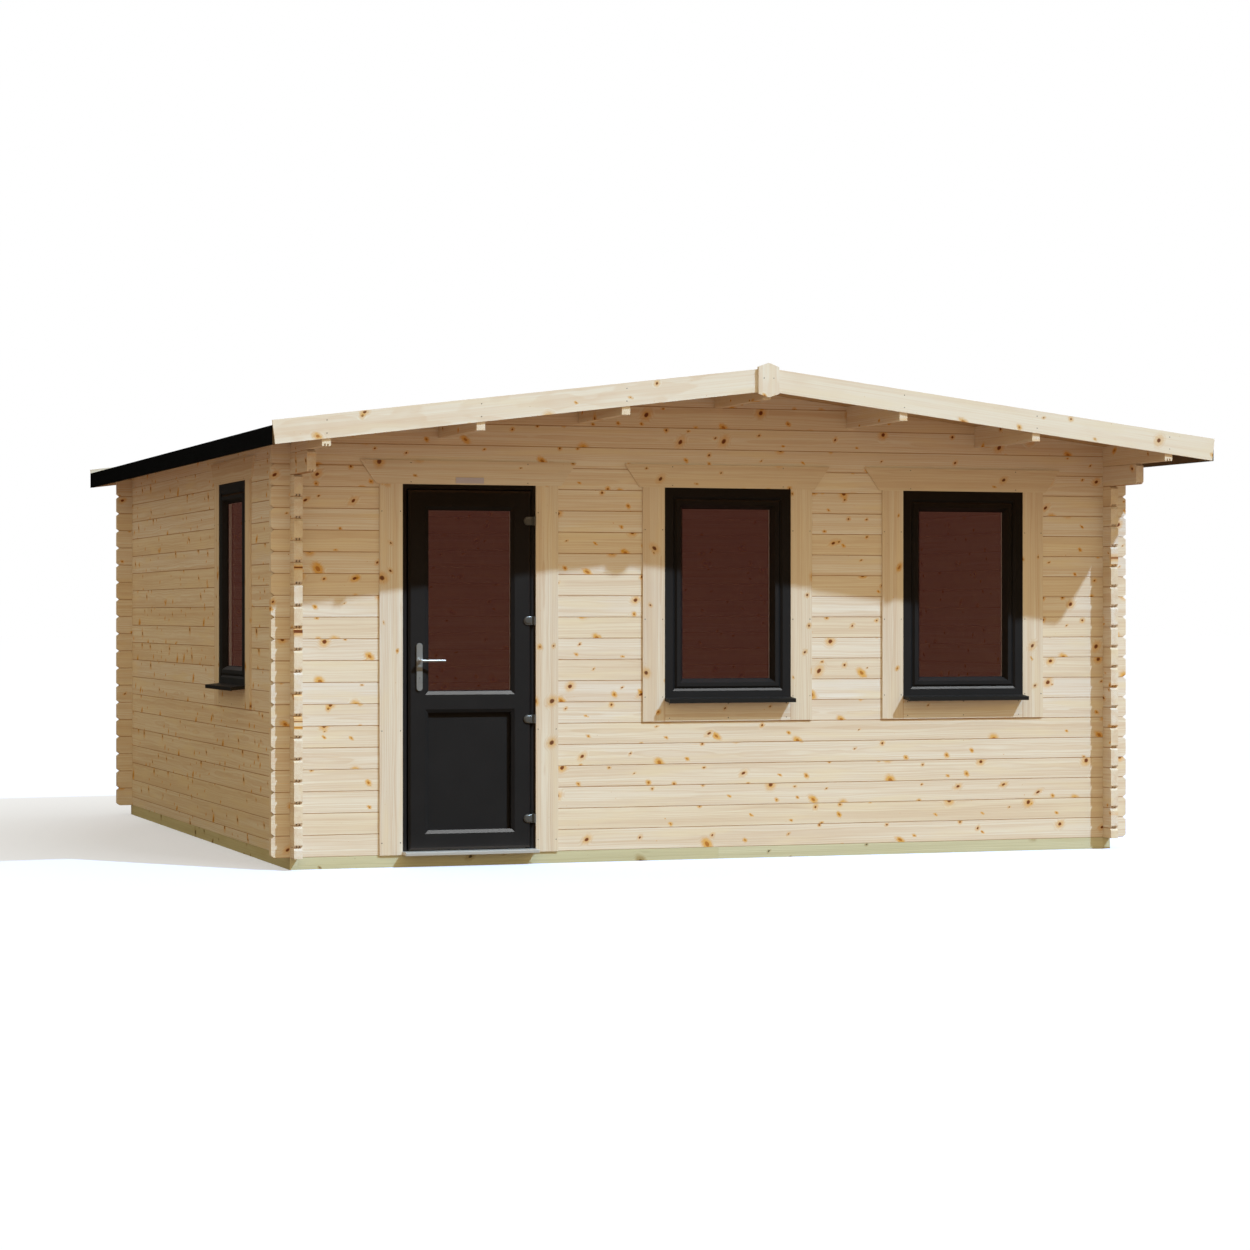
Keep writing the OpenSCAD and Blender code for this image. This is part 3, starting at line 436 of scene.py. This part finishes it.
left_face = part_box("left_wall_low")[0].x


def log_wall(name, foot, lengthways):
    """Logs that lie on each other from foot up, along Y where lengthways, or else along X."""
    look = Finish(name, Specular_IOR_Level=0.25)
    along, depth = (look.y, look.x) if lengthways else (look.x, look.y)
    course = ((look.z - foot) / log_height).floor()
    middle = foot + (course + 0.5) * log_height
    inward = (abs(depth) - side_log_x) if lengthways else (abs(depth - mid_y) - end_log_y)
    # Darker wood in the V where two logs meet: dust, and painted shade of the groove.
    joint = joint_dark * abs(look.z - middle).ramp(log_height / 2 - joint_reach,
                                                   log_height / 2 - joint_core)
    return softwood(look, along, look.z - middle, inward, course + 41 * (depth > 0) + 5, spruce,
                    joint=joint)


front_logs = log_wall("pine_logs_front", front_foot, False)
front_logs.coat("front_wall_left", "front_wall_low", "front_wall_piers", "front_wall_head",
                "front_gable", "back_wall", "back_gable")
side_logs = log_wall("pine_logs_side", side_foot, True)
side_logs.coat("left_wall_low", "left_wall_piers", "left_wall_head", "right_wall")

beam_step = 0.3                            # tells the beams apart
beam_level = 2.3
beams = Finish("pine_beams", Specular_IOR_Level=0.25)
beam_row = (beams.x / beam_step + 0.5).floor()
softwood(beams, beams.y, beams.z - beam_level, beams.x - beam_row * beam_step, beam_row + 77,
         spruce)
beams.coat("eaves_logs", "purlins")


# ---------------------------------------------------------------------------------------------
# Roof boards and floor boards. Thin tongued boards with a V along each joint, nailed across the
# purlins from ridge to eaves, and across the floor joists indoors.
# ---------------------------------------------------------------------------------------------
def finished(name, mesh, material, body):
    """A piece of the cabin in its place, with its finish, riding on a body."""
    if material:
        mesh.materials.clear()
        mesh.materials.append(material)
    piece = bpy.data.objects.new(name, mesh)
    scene.collection.objects.link(piece)
    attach(piece, body)
    return piece


def grown(name, seed_mesh, tree, inputs):
    """The mesh that a geometry tree makes from a seed mesh, with its instances realized."""
    seed = bpy.data.objects.new(name + "_seed", seed_mesh)
    scene.collection.objects.link(seed)
    modifier = seed.modifiers.new("grow", "NODES")
    modifier.node_group = tree
    for item in tree.interface.items_tree:
        if item.item_type == "SOCKET" and item.in_out == "INPUT" and item.name in inputs:
            modifier[item.identifier] = inputs[item.name]
    bpy.context.view_layer.update()
    whole = seed.evaluated_get(bpy.context.evaluated_depsgraph_get())
    mesh = bpy.data.meshes.new_from_object(whole)
    mesh.name = name
    seed.modifiers.remove(modifier)
    bpy.data.objects.remove(seed)
    return mesh


def geometry_tree(name, inputs):
    """A geometry tree with named inputs, as (node group, tree, {name: wire})."""
    group = bpy.data.node_groups.new(name, "GeometryNodeTree")
    group.interface.new_socket("Geometry", in_out="OUTPUT", socket_type="NodeSocketGeometry")
    for label, kind in inputs:
        group.interface.new_socket(label, in_out="INPUT", socket_type="NodeSocket" + kind)
    tree = Tree(group)
    wires = tree.node("NodeGroupInput", [label for label, kind in inputs])
    return group, tree, dict(zip([label for label, kind in inputs], wires))


def close_tree(tree, geometry, material):
    """Ends a geometry tree: instances made real, and the material set."""
    real = tree.node("GeometryNodeRealizeInstances", "Geometry", None, {"Geometry": geometry})
    coated = tree.node("GeometryNodeSetMaterial", "Geometry", None,
                       {"Geometry": real, "Material": material})
    tree.node("NodeGroupOutput", (), None, {"Geometry": coated})


boarding, board_tree, board_in = geometry_tree("boarding", [
    ("Geometry", "Geometry"), ("Boards", "Int"), ("Step", "Vector"), ("Material", "Material")])
rows = board_tree.node("GeometryNodeMeshLine", "Mesh", {"mode": "OFFSET"}, {
    "Count": board_in["Boards"], "Offset": board_in["Step"]})
laid = board_tree.node("GeometryNodeInstanceOnPoints", "Instances", None, {
    "Points": rows, "Instance": board_in["Geometry"]})
close_tree(board_tree, laid, board_in["Material"])


board_gap = 0.0008


def board_section(cover, thick, groove):
    """Outline of one board's end: width first, then height, with a V along its lower edges."""
    half = cover / 2 - board_gap / 2
    return [(-half + groove, 0), (half - groove, 0), (half, groove), (half, thick),
            (-half, thick), (-half, groove)]


def closed_mesh(name, points, faces):
    mesh = bpy.data.meshes.new(name)
    mesh.from_pydata(points, [], faces)
    solid = bmesh.new()
    solid.from_mesh(mesh)
    bmesh.ops.recalc_face_normals(solid, faces=solid.faces)
    solid.to_mesh(mesh)
    solid.free()
    return mesh


def board_mesh(name, section, corner):
    """A board whose section stands at two ends: corner(end, width, height) places a point."""
    count = len(section)
    points = [corner(end, *point) for end in (0, 1) for point in section]
    faces = [tuple(range(count)), tuple(range(2 * count - 1, count - 1, -1))]
    faces += [(i + count, (i + 1) % count + count, (i + 1) % count, i) for i in range(count)]
    return closed_mesh(name, points, faces)


board_cover = 0.1124
board_groove = 0.004
board_thick = 0.019
roof_level = 2.5
frame_back = 0.002                         # clearance of the floor boards behind the door frame
frame_side = 0.004                         # and beside it
roof_low, roof_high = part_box("roof_boards_right")
board_count = round((roof_high.y - roof_low.y) / board_cover)
cover = (roof_high.y - roof_low.y) / board_count
pitch = math.radians(7)
roof_thick = board_thick / math.cos(pitch)
slope_drop = (roof_high.x - roof_low.x) * math.tan(pitch)

# The roof boards' tones are the pine's, darkened and reddened with painted shade for their
# undersides deep under the overhang.
painted_shade_roof_tones = ((0.60, 0.45, 0.29, 1), (0.42, 0.26, 0.13, 1), (0.56, 0.38, 0.20, 1),
              (0.42, 0.19, 0.05, 1), (0.22, 0.08, 0.020, 1), (0.09, 0.03, 0.010, 1))
roof_wood = Finish("pine_roof_boards", Specular_IOR_Level=0.2)
roof_board = ((roof_wood.y - roof_low.y) / cover).floor()
softwood(roof_wood, roof_wood.x, roof_wood.y - roof_low.y - (roof_board + 0.5) * cover,
         roof_wood.z - roof_level, roof_board + 61 * (roof_wood.x > 0), painted_shade_roof_tones)

for side, name in ((-1, "roof_boards_left"), (1, "roof_boards_right")):
    def corner(end, width, height, side=side):
        x = (roof_low.x, roof_high.x)[end] * side
        rise = roof_high.z - roof_thick - end * slope_drop
        return (x, roof_low.y + cover / 2 + width, rise + height / math.cos(pitch))
    seed = board_mesh(name, board_section(cover, board_thick, board_groove), corner)
    mesh = grown(name + "_tongued", seed, boarding,
                 {"Boards": board_count, "Step": (0, cover, 0), "Material": roof_wood.material})
    piece = finished(name + "_tongued", mesh, None, "root")
    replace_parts(piece, name)

# The floor's first board starts behind the door frame; two strips fill in beside the doorway.
floor_low, floor_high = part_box("floor_boards")
frame_low, frame_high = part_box("door_frame")
notch_back = frame_high.y + frame_back
notch_side = (frame_low.x - frame_side, frame_high.x + frame_side)
floor_count = round((floor_high.y - notch_back) / board_cover)
floor_cover = (floor_high.y - notch_back) / floor_count
floor_wood = Finish("pine_floor_boards", Specular_IOR_Level=0.3)
floor_board = ((floor_wood.y - notch_back) / floor_cover).floor()
softwood(floor_wood, floor_wood.x, floor_wood.y - notch_back - (floor_board + 0.5) * floor_cover,
         floor_wood.z, floor_board + 131, spruce)


def floor_piece(name, x0, x1, y0, y1):
    """A board with the V along its upper edges, from x0 to x1 and from y0 to y1."""
    thick = floor_high.z - floor_low.z
    section = [(width, thick - height) for width, height in
               board_section(y1 - y0, thick, board_groove / 2)]
    return board_mesh(name, section, lambda end, width, height: (
        (x0, x1)[end], (y0 + y1) / 2 + width, floor_low.z + height))


floor_seed = floor_piece("floor_board", floor_low.x, floor_high.x, notch_back,
                         notch_back + floor_cover)
floor_mesh = grown("floor_boards_tongued", floor_seed, boarding,
                   {"Boards": floor_count, "Step": (0, floor_cover, 0),
                    "Material": floor_wood.material})
strips = bmesh.new()
strips.from_mesh(floor_mesh)
for x0, x1 in ((floor_low.x, notch_side[0]), (notch_side[1], floor_high.x)):
    strips.from_mesh(floor_piece("floor_strip", x0, x1, floor_low.y, notch_back))
strips.to_mesh(floor_mesh)
strips.free()
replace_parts(finished("floor_boards_tongued", floor_mesh, None, "root"),
            "floor_boards")


# ---------------------------------------------------------------------------------------------
# Felt. Black mineral roofing felt in three lapped strips on each slope and one along the ridge,
# the lowest strip folded down over the eaves fascia and nailed.
# ---------------------------------------------------------------------------------------------
felt = Finish("roofing_felt", Specular_IOR_Level=0.03)
grit = felt.noise(felt.place, 900.0, 2.0)
cloud = felt.noise(felt.place, 3.0, 3.0)
felt.set(Base_Color=felt.blend(grit.ramp(0.45, 0.75) * 0.6 + cloud * 0.25,
                               (0.0012, 0.0012, 0.0013, 1), (0.0075, 0.0072, 0.0070, 1)),
         Roughness=0.80 + 0.15 * grit)
felt.bump(grit + cloud * 2, 0.0008)
felt.coat("roof_felt")


# ---------------------------------------------------------------------------------------------
# Barge boards, ridge plaques and fascias. Planed boards nailed to the purlin ends along both
# gables and under the eaves, the fascias dark with painted shade, and a six-sided block over
# each pair's mitre.
# ---------------------------------------------------------------------------------------------
planed = ((0.82, 0.785, 0.74, 1), (0.70, 0.55, 0.42, 1), (0.80, 0.72, 0.59, 1),
          (0.68, 0.40, 0.12, 1), (0.46, 0.19, 0.045, 1), (0.14, 0.040, 0.012, 1))
barge_middle = 0.06                        # of a barge board's depth, below its top
fascia_x = 2.6
fascia_level = 2.2
barge_wood = Finish("pine_barge_boards", Specular_IOR_Level=0.25)
barge_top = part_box("front_barge_boards")[1].z
barge_pick = (barge_wood.x > 0) * 3 + (barge_wood.y > 0) * 5 + 11
softwood(barge_wood, barge_wood.x,
         barge_wood.z + abs(barge_wood.x) * math.tan(pitch) - barge_top + barge_middle,
         barge_wood.y - mid_y * (barge_wood.y > 0), barge_pick, planed, 0.55)
barge_wood.coat("front_barge_boards", "back_barge_boards")

block_wood = Finish("pine_blocks", Specular_IOR_Level=0.25)
softwood(block_wood, block_wood.z, block_wood.x, block_wood.y, (block_wood.y > 0) * 3 + 21,
         planed, 0.3)
block_wood.coat("ridge_plaques")

# The fascias' tones are the pine's, darkened with painted shade for their inner faces deep under
# the eaves.
painted_shade_fascia_tones = ((0.15, 0.115, 0.08, 1), (0.11, 0.075, 0.05, 1), (0.14, 0.10, 0.065, 1),
          (0.10, 0.06, 0.03, 1), (0.06, 0.03, 0.015, 1), (0.04, 0.02, 0.01, 1))
fascia_wood = Finish("pine_fascias", Specular_IOR_Level=0.15)
softwood(fascia_wood, fascia_wood.y, fascia_wood.z - fascia_level, abs(fascia_wood.x) - fascia_x,
         (fascia_wood.x > 0) * 3 + 31, painted_shade_fascia_tones)
fascia_wood.coat("eaves_fascias")


# ---------------------------------------------------------------------------------------------
# Trim boards round the door and windows. Planed boards nailed to the logs: uprights beside the
# frames, a flared head board over them and, at a window, a board under the sill.
# ---------------------------------------------------------------------------------------------
trim_width = 0.125
opening_half = 0.367
sash_half = 0.3077                         # half the width of a window's sash
head_lap = 0.006                           # of the door frame behind its head board
trim_joint = 0.0014                        # half the width of the line between two boards
jamb_tones = ((0.80, 0.745, 0.67, 1), (0.62, 0.45, 0.31, 1), (0.77, 0.65, 0.49, 1),
              (0.66, 0.37, 0.10, 1), (0.44, 0.18, 0.045, 1), (0.14, 0.040, 0.012, 1))


def trim_finish(name, along_y, face, middles, head, sill):
    """Boards round the openings whose middles are given, as seen along the wall: uprights from
    foot to head, a level board over the head and, below the level of a sill, one under it."""
    look = Finish(name, Specular_IOR_Level=0.25)
    side, deep = (look.y, look.x) if along_y else (look.x, look.y)
    middle = middles[0]
    if len(middles) > 1:
        middle = middle + (side > sum(middles) / 2) * (middles[1] - middles[0])
    off = side - middle
    over = look.z > head
    under = (abs(off) < opening_half) * (look.z < sill)
    upright = abs(off) - opening_half - trim_width / 2
    level = look.z - head - trim_width / 2 + under * (head - sill + trim_width)
    lying = over.largest(under)
    board = (off > 0) * (1 - lying) + over * 2 + under * 3
    # A dark line where the uprights meet the board under the sill: painted shade of the gap between
    # them.
    joint = joint_dark * (abs(abs(off) - opening_half) < trim_joint) * (look.z < sill)
    return softwood(look, look.z + (side - look.z) * lying, upright + (level - upright) * lying,
                    deep - face, board + 5 * middle + 90, jamb_tones, 0.7, joint=joint)


def middle_of(name, axis):
    """The middle of a node's box along one axis."""
    return sum(corner[axis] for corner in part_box(name)) / 2


frame_head = frame_high.z - head_lap
sashes_low, sashes_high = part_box("front_window_sashes")
window_middles = (sashes_low.x + sash_half, sashes_high.x - sash_half)
trim_finish("pine_trim_door", False, front_face, (middle_of("door_frame", 0),), frame_head,
            0.0).coat("door_trim")
trim_finish("pine_trim_front", False, front_face, window_middles, frame_head,
            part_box("front_window_sills")[1].z).coat("front_window_trim")
trim_finish("pine_trim_left", True, left_face, (middle_of("side_window_sash", 1),),
            frame_head + log_height / 2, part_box("side_window_sill")[1].z).coat("side_window_trim")


# ---------------------------------------------------------------------------------------------
# Door and window frames, sashes, sills and the door leaf. Hollow black plastic profiles with a
# satin skin, mitred and welded at the corners, over pressed sills with a matt black coating.
# ---------------------------------------------------------------------------------------------
plastic = Finish("black_upvc", Specular_IOR_Level=0.88, Specular_Tint=(1.0, 0.72, 0.56, 1))
skin = plastic.noise(plastic.place, 260.0, 2.0)
dust = plastic.noise(plastic.place, 7.0, 3.0)
plastic.set(Base_Color=plastic.blend(dust.ramp(0.4, 0.8) * 0.5,
                                     (0.0058, 0.0082, 0.0100, 1), (0.0080, 0.0104, 0.0124, 1)),
            Roughness=0.43 + 0.05 * dust)
plastic.bump(skin, 0.00012, 0.6)
plastic.coat("door_frame", "door_leaf", "door_panel", "front_window_frames",
             "front_window_sashes", "side_window_frame", "side_window_sash")

pressed = Finish("black_sills", Specular_IOR_Level=0.2)
coating = pressed.noise(pressed.place, 700.0, 2.0)
pressed.set(Base_Color=pressed.blend(coating, (0.0145, 0.0118, 0.0098, 1),
                                     (0.0210, 0.0170, 0.0142, 1)),
            Roughness=0.5 + 0.1 * coating)
pressed.bump(coating, 0.0001)
pressed.coat("front_window_sills", "side_window_sill")


# ---------------------------------------------------------------------------------------------
# Glass. Sealed units of two red-brown tinted panes, held in the sashes and the door leaf by
# their beads, with the dim room showing through and a faint painted glow for that room's light.
# ---------------------------------------------------------------------------------------------
# The emission is a painted glow, not a lamp: it stands in for the light of the dim room behind.
glass = Finish("dark_glass", Base_Color=(0.010, 0.003, 0.003, 1), Roughness=0.04,
               Specular_IOR_Level=0.5, Alpha=0.12,
               Emission_Color=(0.115, 0.036, 0.026, 1), Emission_Strength=1.0)
glass.coat("door_glass", "front_window_glass", "side_window_glass")


# ---------------------------------------------------------------------------------------------
# Spacers and gaskets. A folded aluminium bar holds the two panes of a unit apart round its edge,
# and a black rubber lip seals each pane against its bead.
# ---------------------------------------------------------------------------------------------
def mitred_frame(name, low, high, section, along_y):
    """A closed bar round an upright rectangle: its section is (inset, depth) points."""
    count = len(section)
    points = []
    for right, top in ((0, 0), (1, 0), (1, 1), (0, 1)):
        for inset, depth in section:
            u = high[0] - inset if right else low[0] + inset
            v = high[1] - inset if top else low[1] + inset
            points.append((depth, u, v) if along_y else (u, depth, v))
    faces = [(c * count + i, c * count + (i + 1) % count,
              (c + 1) % 4 * count + (i + 1) % count, (c + 1) % 4 * count + i)
             for c in range(4) for i in range(count)]
    return closed_mesh(name, points, faces)


spacer = Finish("spacer_bar", Base_Color=(0.75, 0.75, 0.76, 1), Metallic=0.6, Roughness=0.45)
hole_step = 0.006                          # of the small holes along a spacer bar
holes = spacer.z / hole_step
spacer.bump(abs(holes - holes.floor() - 0.5), 0.0003, 0.5)
rubber = Finish("gasket_rubber", Base_Color=(0.012, 0.012, 0.012, 1), Specular_IOR_Level=0.2)
rubber.set(Roughness=0.62 + 0.2 * rubber.noise(rubber.place, 300.0))

pane = 0.004
hold = 0.010                               # of the glass behind its beads
bar_edge = 0.001                           # from the edge of the glass to the spacer bar
bar_shoulder, bar_nose = hold + 0.002, hold + 0.003
bar_slant = 0.002
lip_gap = 0.0001                           # between a gasket's lip and its bead
lip_foot = 0.004                           # how far the lip reaches over the glass
lip_bend = (0.0015, 0.003)                 # where its slope changes: over the glass, and out
lip_top = 0.0045                           # how far it stands out at the bead


def half_of(name, axis):
    """Half the length of a node's box along one axis."""
    low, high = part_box(name)
    return (high[axis] - low[axis]) / 2


half_light = half_of("side_window_glass", 1)
lights = [("door_glass", "door", False, middle_of("door_glass", 0), half_of("door_glass", 0))]
lights += [("front_window_glass", "root", False, middle, half_light) for middle in window_middles]
lights += [("side_window_glass", "root", True, middle_of("side_window_glass", 1), half_light)]
for number, (name, body, along_y, middle, half) in enumerate(lights):
    low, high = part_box(name)
    face = (low.x, high.x) if along_y else (low.y, high.y)
    corners = ((middle - half, low.z), (middle + half, high.z))
    bar = [(bar_edge, face[0] + pane), (bar_shoulder, face[0] + pane),
           (bar_nose, face[0] + pane + bar_slant), (bar_nose, face[1] - pane - bar_slant),
           (bar_shoulder, face[1] - pane), (bar_edge, face[1] - pane)]
    finished(f"spacer_{number}", mitred_frame(f"spacer_{number}", *corners, bar, along_y),
             spacer.material, body)
    for k, out in enumerate((-1, 1)):
        lip = [(hold + lip_gap, face[k]), (hold + lip_foot, face[k]),
               (hold + lip_bend[0], face[k] + out * lip_bend[1]),
               (hold + lip_gap, face[k] + out * lip_top)]
        finished(f"gasket_{number}_{k}",
                 mitred_frame(f"gasket_{number}_{k}", *corners, lip, along_y),
                 rubber.material, body)


# ---------------------------------------------------------------------------------------------
# Ironmongery. A satin aluminium threshold and small bare plate, stainless handle plates, lever
# and lock cylinder, and dark hinges with domed caps over the screws of their flaps.
# ---------------------------------------------------------------------------------------------
silver = Finish("satin_aluminium", Base_Color=(0.72, 0.685, 0.655, 1), Metallic=0.45)
brushed = silver.noise(silver.vector(silver.x * 6, silver.y * 900, silver.z * 900), 1.0, 2.0)
silver.set(Roughness=0.38 + 0.12 * brushed)
silver.bump(brushed, 0.00008)
silver.coat("door_threshold")

plate = Finish("painted_plate", Base_Color=(0.70, 0.68, 0.86, 1), Metallic=0.25)
plate.set(Roughness=0.45 + 0.1 * plate.noise(plate.place, 400.0))
plate.coat("door_name_plate")

steel = Finish("satin_steel", Base_Color=(0.88, 0.84, 0.80, 1), Metallic=0.84)
turned = steel.noise(steel.vector(steel.x * 700, steel.y * 700, steel.z * 9), 1.0, 2.0)
steel.set(Roughness=0.28 + 0.10 * turned)
steel.bump(turned, 0.00004)
steel.coat("handle_plates", "door_lever")

iron = Finish("hinge_metal", Base_Color=(0.20, 0.19, 0.18, 1), Metallic=0.6,
              Specular_IOR_Level=0.6)
cast = iron.noise(iron.place, 420.0, 2.0)
iron.set(Roughness=0.26 + 0.12 * cast)
iron.bump(cast, 0.0001)
iron.coat("hinge_flaps", "hinge_posts")

# Domed caps clipped over the screws of the hinge flaps, round at the leaf's side.
hinge_h = 0.046
cap_l = 0.043
cap_margin = 0.002                         # of a flap round its cap, and of the cap's corners
flap_thick = 0.005
cap_rings = ((1.0, 0.0), (0.98, 0.0016), (0.88, 0.0034), (0.66, 0.0046), (0.34, 0.0051))
hinge_low, hinge_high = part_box("hinge_flaps")
hinge_count = 4
hinge_step = (hinge_high.z - hinge_low.z - hinge_h) / (hinge_count - 1)
flap_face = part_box("door_leaf")[0].y - flap_thick
cap_half = hinge_h / 2 - cap_margin
bend = [math.radians(90 + i * 15) for i in range(13)]
cap_outline = [(cap_half * math.cos(t) - (cap_l / 2 - cap_half), cap_half * math.sin(t))
               for t in bend]
cap_outline += [(cap_l / 2 - cap_margin, -cap_half), (cap_l / 2, -cap_half + cap_margin),
                (cap_l / 2, cap_half - cap_margin), (cap_l / 2 - cap_margin, cap_half)]
caps = bmesh.new()
for level in range(hinge_count):
    centre = Vector((hinge_low.x + cap_margin + cap_l / 2, flap_face,
                     hinge_low.z + hinge_h / 2 + level * hinge_step))
    rings = [[caps.verts.new(centre + Vector((u * scale, -out, v * scale)))
              for u, v in cap_outline] for scale, out in cap_rings]
    caps.faces.new(rings[0])
    caps.faces.new(rings[-1])
    for inner, outer in zip(rings, rings[1:]):
        for i in range(len(inner)):
            k = (i + 1) % len(inner)
            caps.faces.new((inner[i], inner[k], outer[k], outer[i]))
bmesh.ops.recalc_face_normals(caps, faces=caps.faces)
cap_mesh = bpy.data.meshes.new("hinge_caps")
caps.to_mesh(cap_mesh)
caps.free()
cap_mesh.shade_smooth()
finished("hinge_caps", cap_mesh, iron.material, "door")

# The lock cylinder's two ends, with a round plug over a narrow tail, and its key slots, drawn as
# thin black prisms that are painted shade of the keyways.
cylinder_drop = 0.081                      # below the lever's underside
lock_proud, slot_proud = 0.0015, 0.0017    # of the cylinder and of its slot, past the plate
cylinder_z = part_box("door_lever")[0].z - cylinder_drop
cylinder_x = middle_of("handle_plates", 0)
plug, tail, cylinder_h = 0.0085, 0.005, 0.033
swing = [math.radians(-54 + i * 12) for i in range(25)]
outline = [(plug * math.cos(t), plug * math.sin(t)) for t in swing]
outline += [(-tail, plug - cylinder_h + tail)]
outline += [(tail * math.cos(t), plug - cylinder_h + tail + tail * math.sin(t))
            for t in (math.radians(180 + i * 30) for i in range(1, 6))]
outline += [(tail, plug - cylinder_h + tail)]
slot_outline = [(-0.0008, -0.0045), (0.0008, -0.0045), (0.0008, 0.001), (0.002, 0.002),
                (0.002, 0.004), (-0.0008, 0.0045)]


def prism(name, shape, depths):
    """A flat shape in the plane of the door at the lock cylinder, between two depths."""
    count = len(shape)
    points = [(cylinder_x + u, y, cylinder_z + v) for y in depths for u, v in shape]
    faces = [tuple(range(count)), tuple(range(count, 2 * count))]
    faces += [(i, (i + 1) % count, (i + 1) % count + count, i + count) for i in range(count)]
    return closed_mesh(name, points, faces)


# Black for the keyways: painted shade of the slots' depth.
slot_painted_shade = Finish("key_slot", Base_Color=(0.01, 0.01, 0.01, 1))
slot_painted_shade.set(Roughness=0.7 + 0.1 * slot_painted_shade.noise(slot_painted_shade.place, 500.0))
plate_low, plate_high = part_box("handle_plates")
for side, face, out in (("outer", plate_low.y, -1), ("inner", plate_high.y, 1)):
    lock_face, slot_face = face + out * lock_proud, face + out * slot_proud
    finished("lock_" + side, prism("lock_" + side, outline, (face, lock_face)),
             steel.material, "door")
    finished("key_slot_" + side, prism("key_slot_" + side, slot_outline, (lock_face, slot_face)),
             slot_painted_shade.material, "door")


# ---------------------------------------------------------------------------------------------
# Nails. Steel nails with small round heads, driven in pairs through the trim boards, the barge
# boards and the ridge blocks.
# ---------------------------------------------------------------------------------------------
nail_head = 0.0027
nail_crown = 0.6                           # width of the flat on top, to that of the whole head
nail_proud = 0.0012
nail_sides = 14
nail_sizes = (0.9, 1.12)                   # between which the heads vary
nail_lift = 0.0003                         # of a nail's middle from the face of its board

fixing, fixing_tree, fixing_in = geometry_tree("fixings", [
    ("Geometry", "Geometry"), ("Head", "Float"), ("Crown", "Float"), ("Proud", "Float"),
    ("Facing", "Rotation"), ("Seed", "Int"), ("Material", "Material")])
head = fixing_tree.node("GeometryNodeMeshCone", "Mesh", {"fill_type": "NGON"}, {
    "Vertices": nail_sides, "Radius Top": fixing_in["Crown"], "Radius Bottom": fixing_in["Head"],
    "Depth": fixing_in["Proud"]})
size = fixing_tree.node("FunctionNodeRandomValue", "Value_001", {"data_type": "FLOAT"}, {
    "Min_001": nail_sizes[0], "Max_001": nail_sizes[1], "Seed": fixing_in["Seed"]})
driven = fixing_tree.node("GeometryNodeInstanceOnPoints", "Instances", None, {
    "Points": fixing_in["Geometry"], "Instance": head, "Rotation": fixing_in["Facing"],
    "Scale": fixing_tree.vector(size, size, size)})
close_tree(fixing_tree, driven, fixing_in["Material"])

nail_steel = Finish("nail_steel", Base_Color=(0.09, 0.075, 0.065, 1), Metallic=0.5)
nail_steel.set(Roughness=0.45 + 0.2 * nail_steel.noise(nail_steel.place, 600.0))


def drive(name, points, facing, seed):
    """Nails with their heads at these points, facing along the turned Z axis."""
    mesh = bpy.data.meshes.new(name)
    mesh.from_pydata(points, [], [])
    mesh = grown(name, mesh, fixing, {
        "Head": nail_head, "Crown": nail_head * nail_crown, "Proud": nail_proud, "Facing": facing,
        "Seed": seed, "Material": nail_steel.material})
    finished(name, mesh, None, "root")


quarter = math.pi / 2
to_front, to_back, to_left = (quarter, 0, 0), (-quarter, 0, 0), (0, -quarter, 0)
edge_in = 0.012
head_in = 0.045                            # of a head board's nails, from the opening's side
apron_reach = 0.34                         # of the outer nails under a sill, from its middle
apron_rises = (0.017, 0.094)
door_nails = (0.129, 0.719, 1.876)
window_nails = (0.885, 1.306, 1.791)
trim_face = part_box("front_window_trim")[0].y
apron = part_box("front_window_trim")[0].z
jamb_pair = (opening_half + edge_in, opening_half + trim_width - edge_in)


def trim_nails(middle, heights, apron_z):
    """Places of the nails round an opening, as (along the wall, height)."""
    spots = [(middle + side * off, z) for side in (-1, 1) for off in jamb_pair for z in heights]
    spots += [(middle + side * (opening_half - head_in), frame_head + rise)
              for side in (-1, 1) for rise in (edge_in, trim_width - edge_in)]
    if apron_z:
        spots += [(middle + side * apron_reach, apron_z + rise) for side in (-1, 0, 1)
                  for rise in apron_rises]
    return spots


front_spots = trim_nails(middle_of("door_frame", 0), door_nails, None)
for middle in window_middles:
    front_spots += trim_nails(middle, window_nails, apron)
drive("front_trim_nails", [(x, trim_face - nail_lift, z) for x, z in front_spots], to_front, 3)
rise = log_height / 2
left_spots = trim_nails(middle_of("side_window_sash", 1), window_nails, apron)
drive("left_trim_nails", [(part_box("side_window_trim")[0].x - nail_lift, y, z + rise)
                          for y, z in left_spots], to_left, 4)

purlin_places = (0.778, 1.556, 2.3575)
barge_depth = 0.121                        # of a barge board, measured upright
barge_parts = (0.24, 0.78)                 # places of a pair of nails in that depth
plaque_nail_x = 0.027
plaque_nail_drop = 0.080
barge_spots = [(side * x, barge_top - x * math.tan(pitch) - barge_depth * part)
               for side in (-1, 1) for x in purlin_places for part in barge_parts]
plaque_low, plaque_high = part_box("ridge_plaques")
plaque_spots = [(x, plaque_high.z - plaque_nail_drop) for x in (-plaque_nail_x, plaque_nail_x)]
for name, facing, pick, out, seed in (("front", to_front, 0, -1, 5), ("back", to_back, 1, 1, 6)):
    board_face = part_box(name + "_barge_boards")[pick].y + out * nail_lift
    block_face = (plaque_low, plaque_high)[pick].y + out * nail_lift
    drive(name + "_barge_nails", [(x, board_face, z) for x, z in barge_spots]
          + [(x, block_face, z) for x, z in plaque_spots], facing, seed)
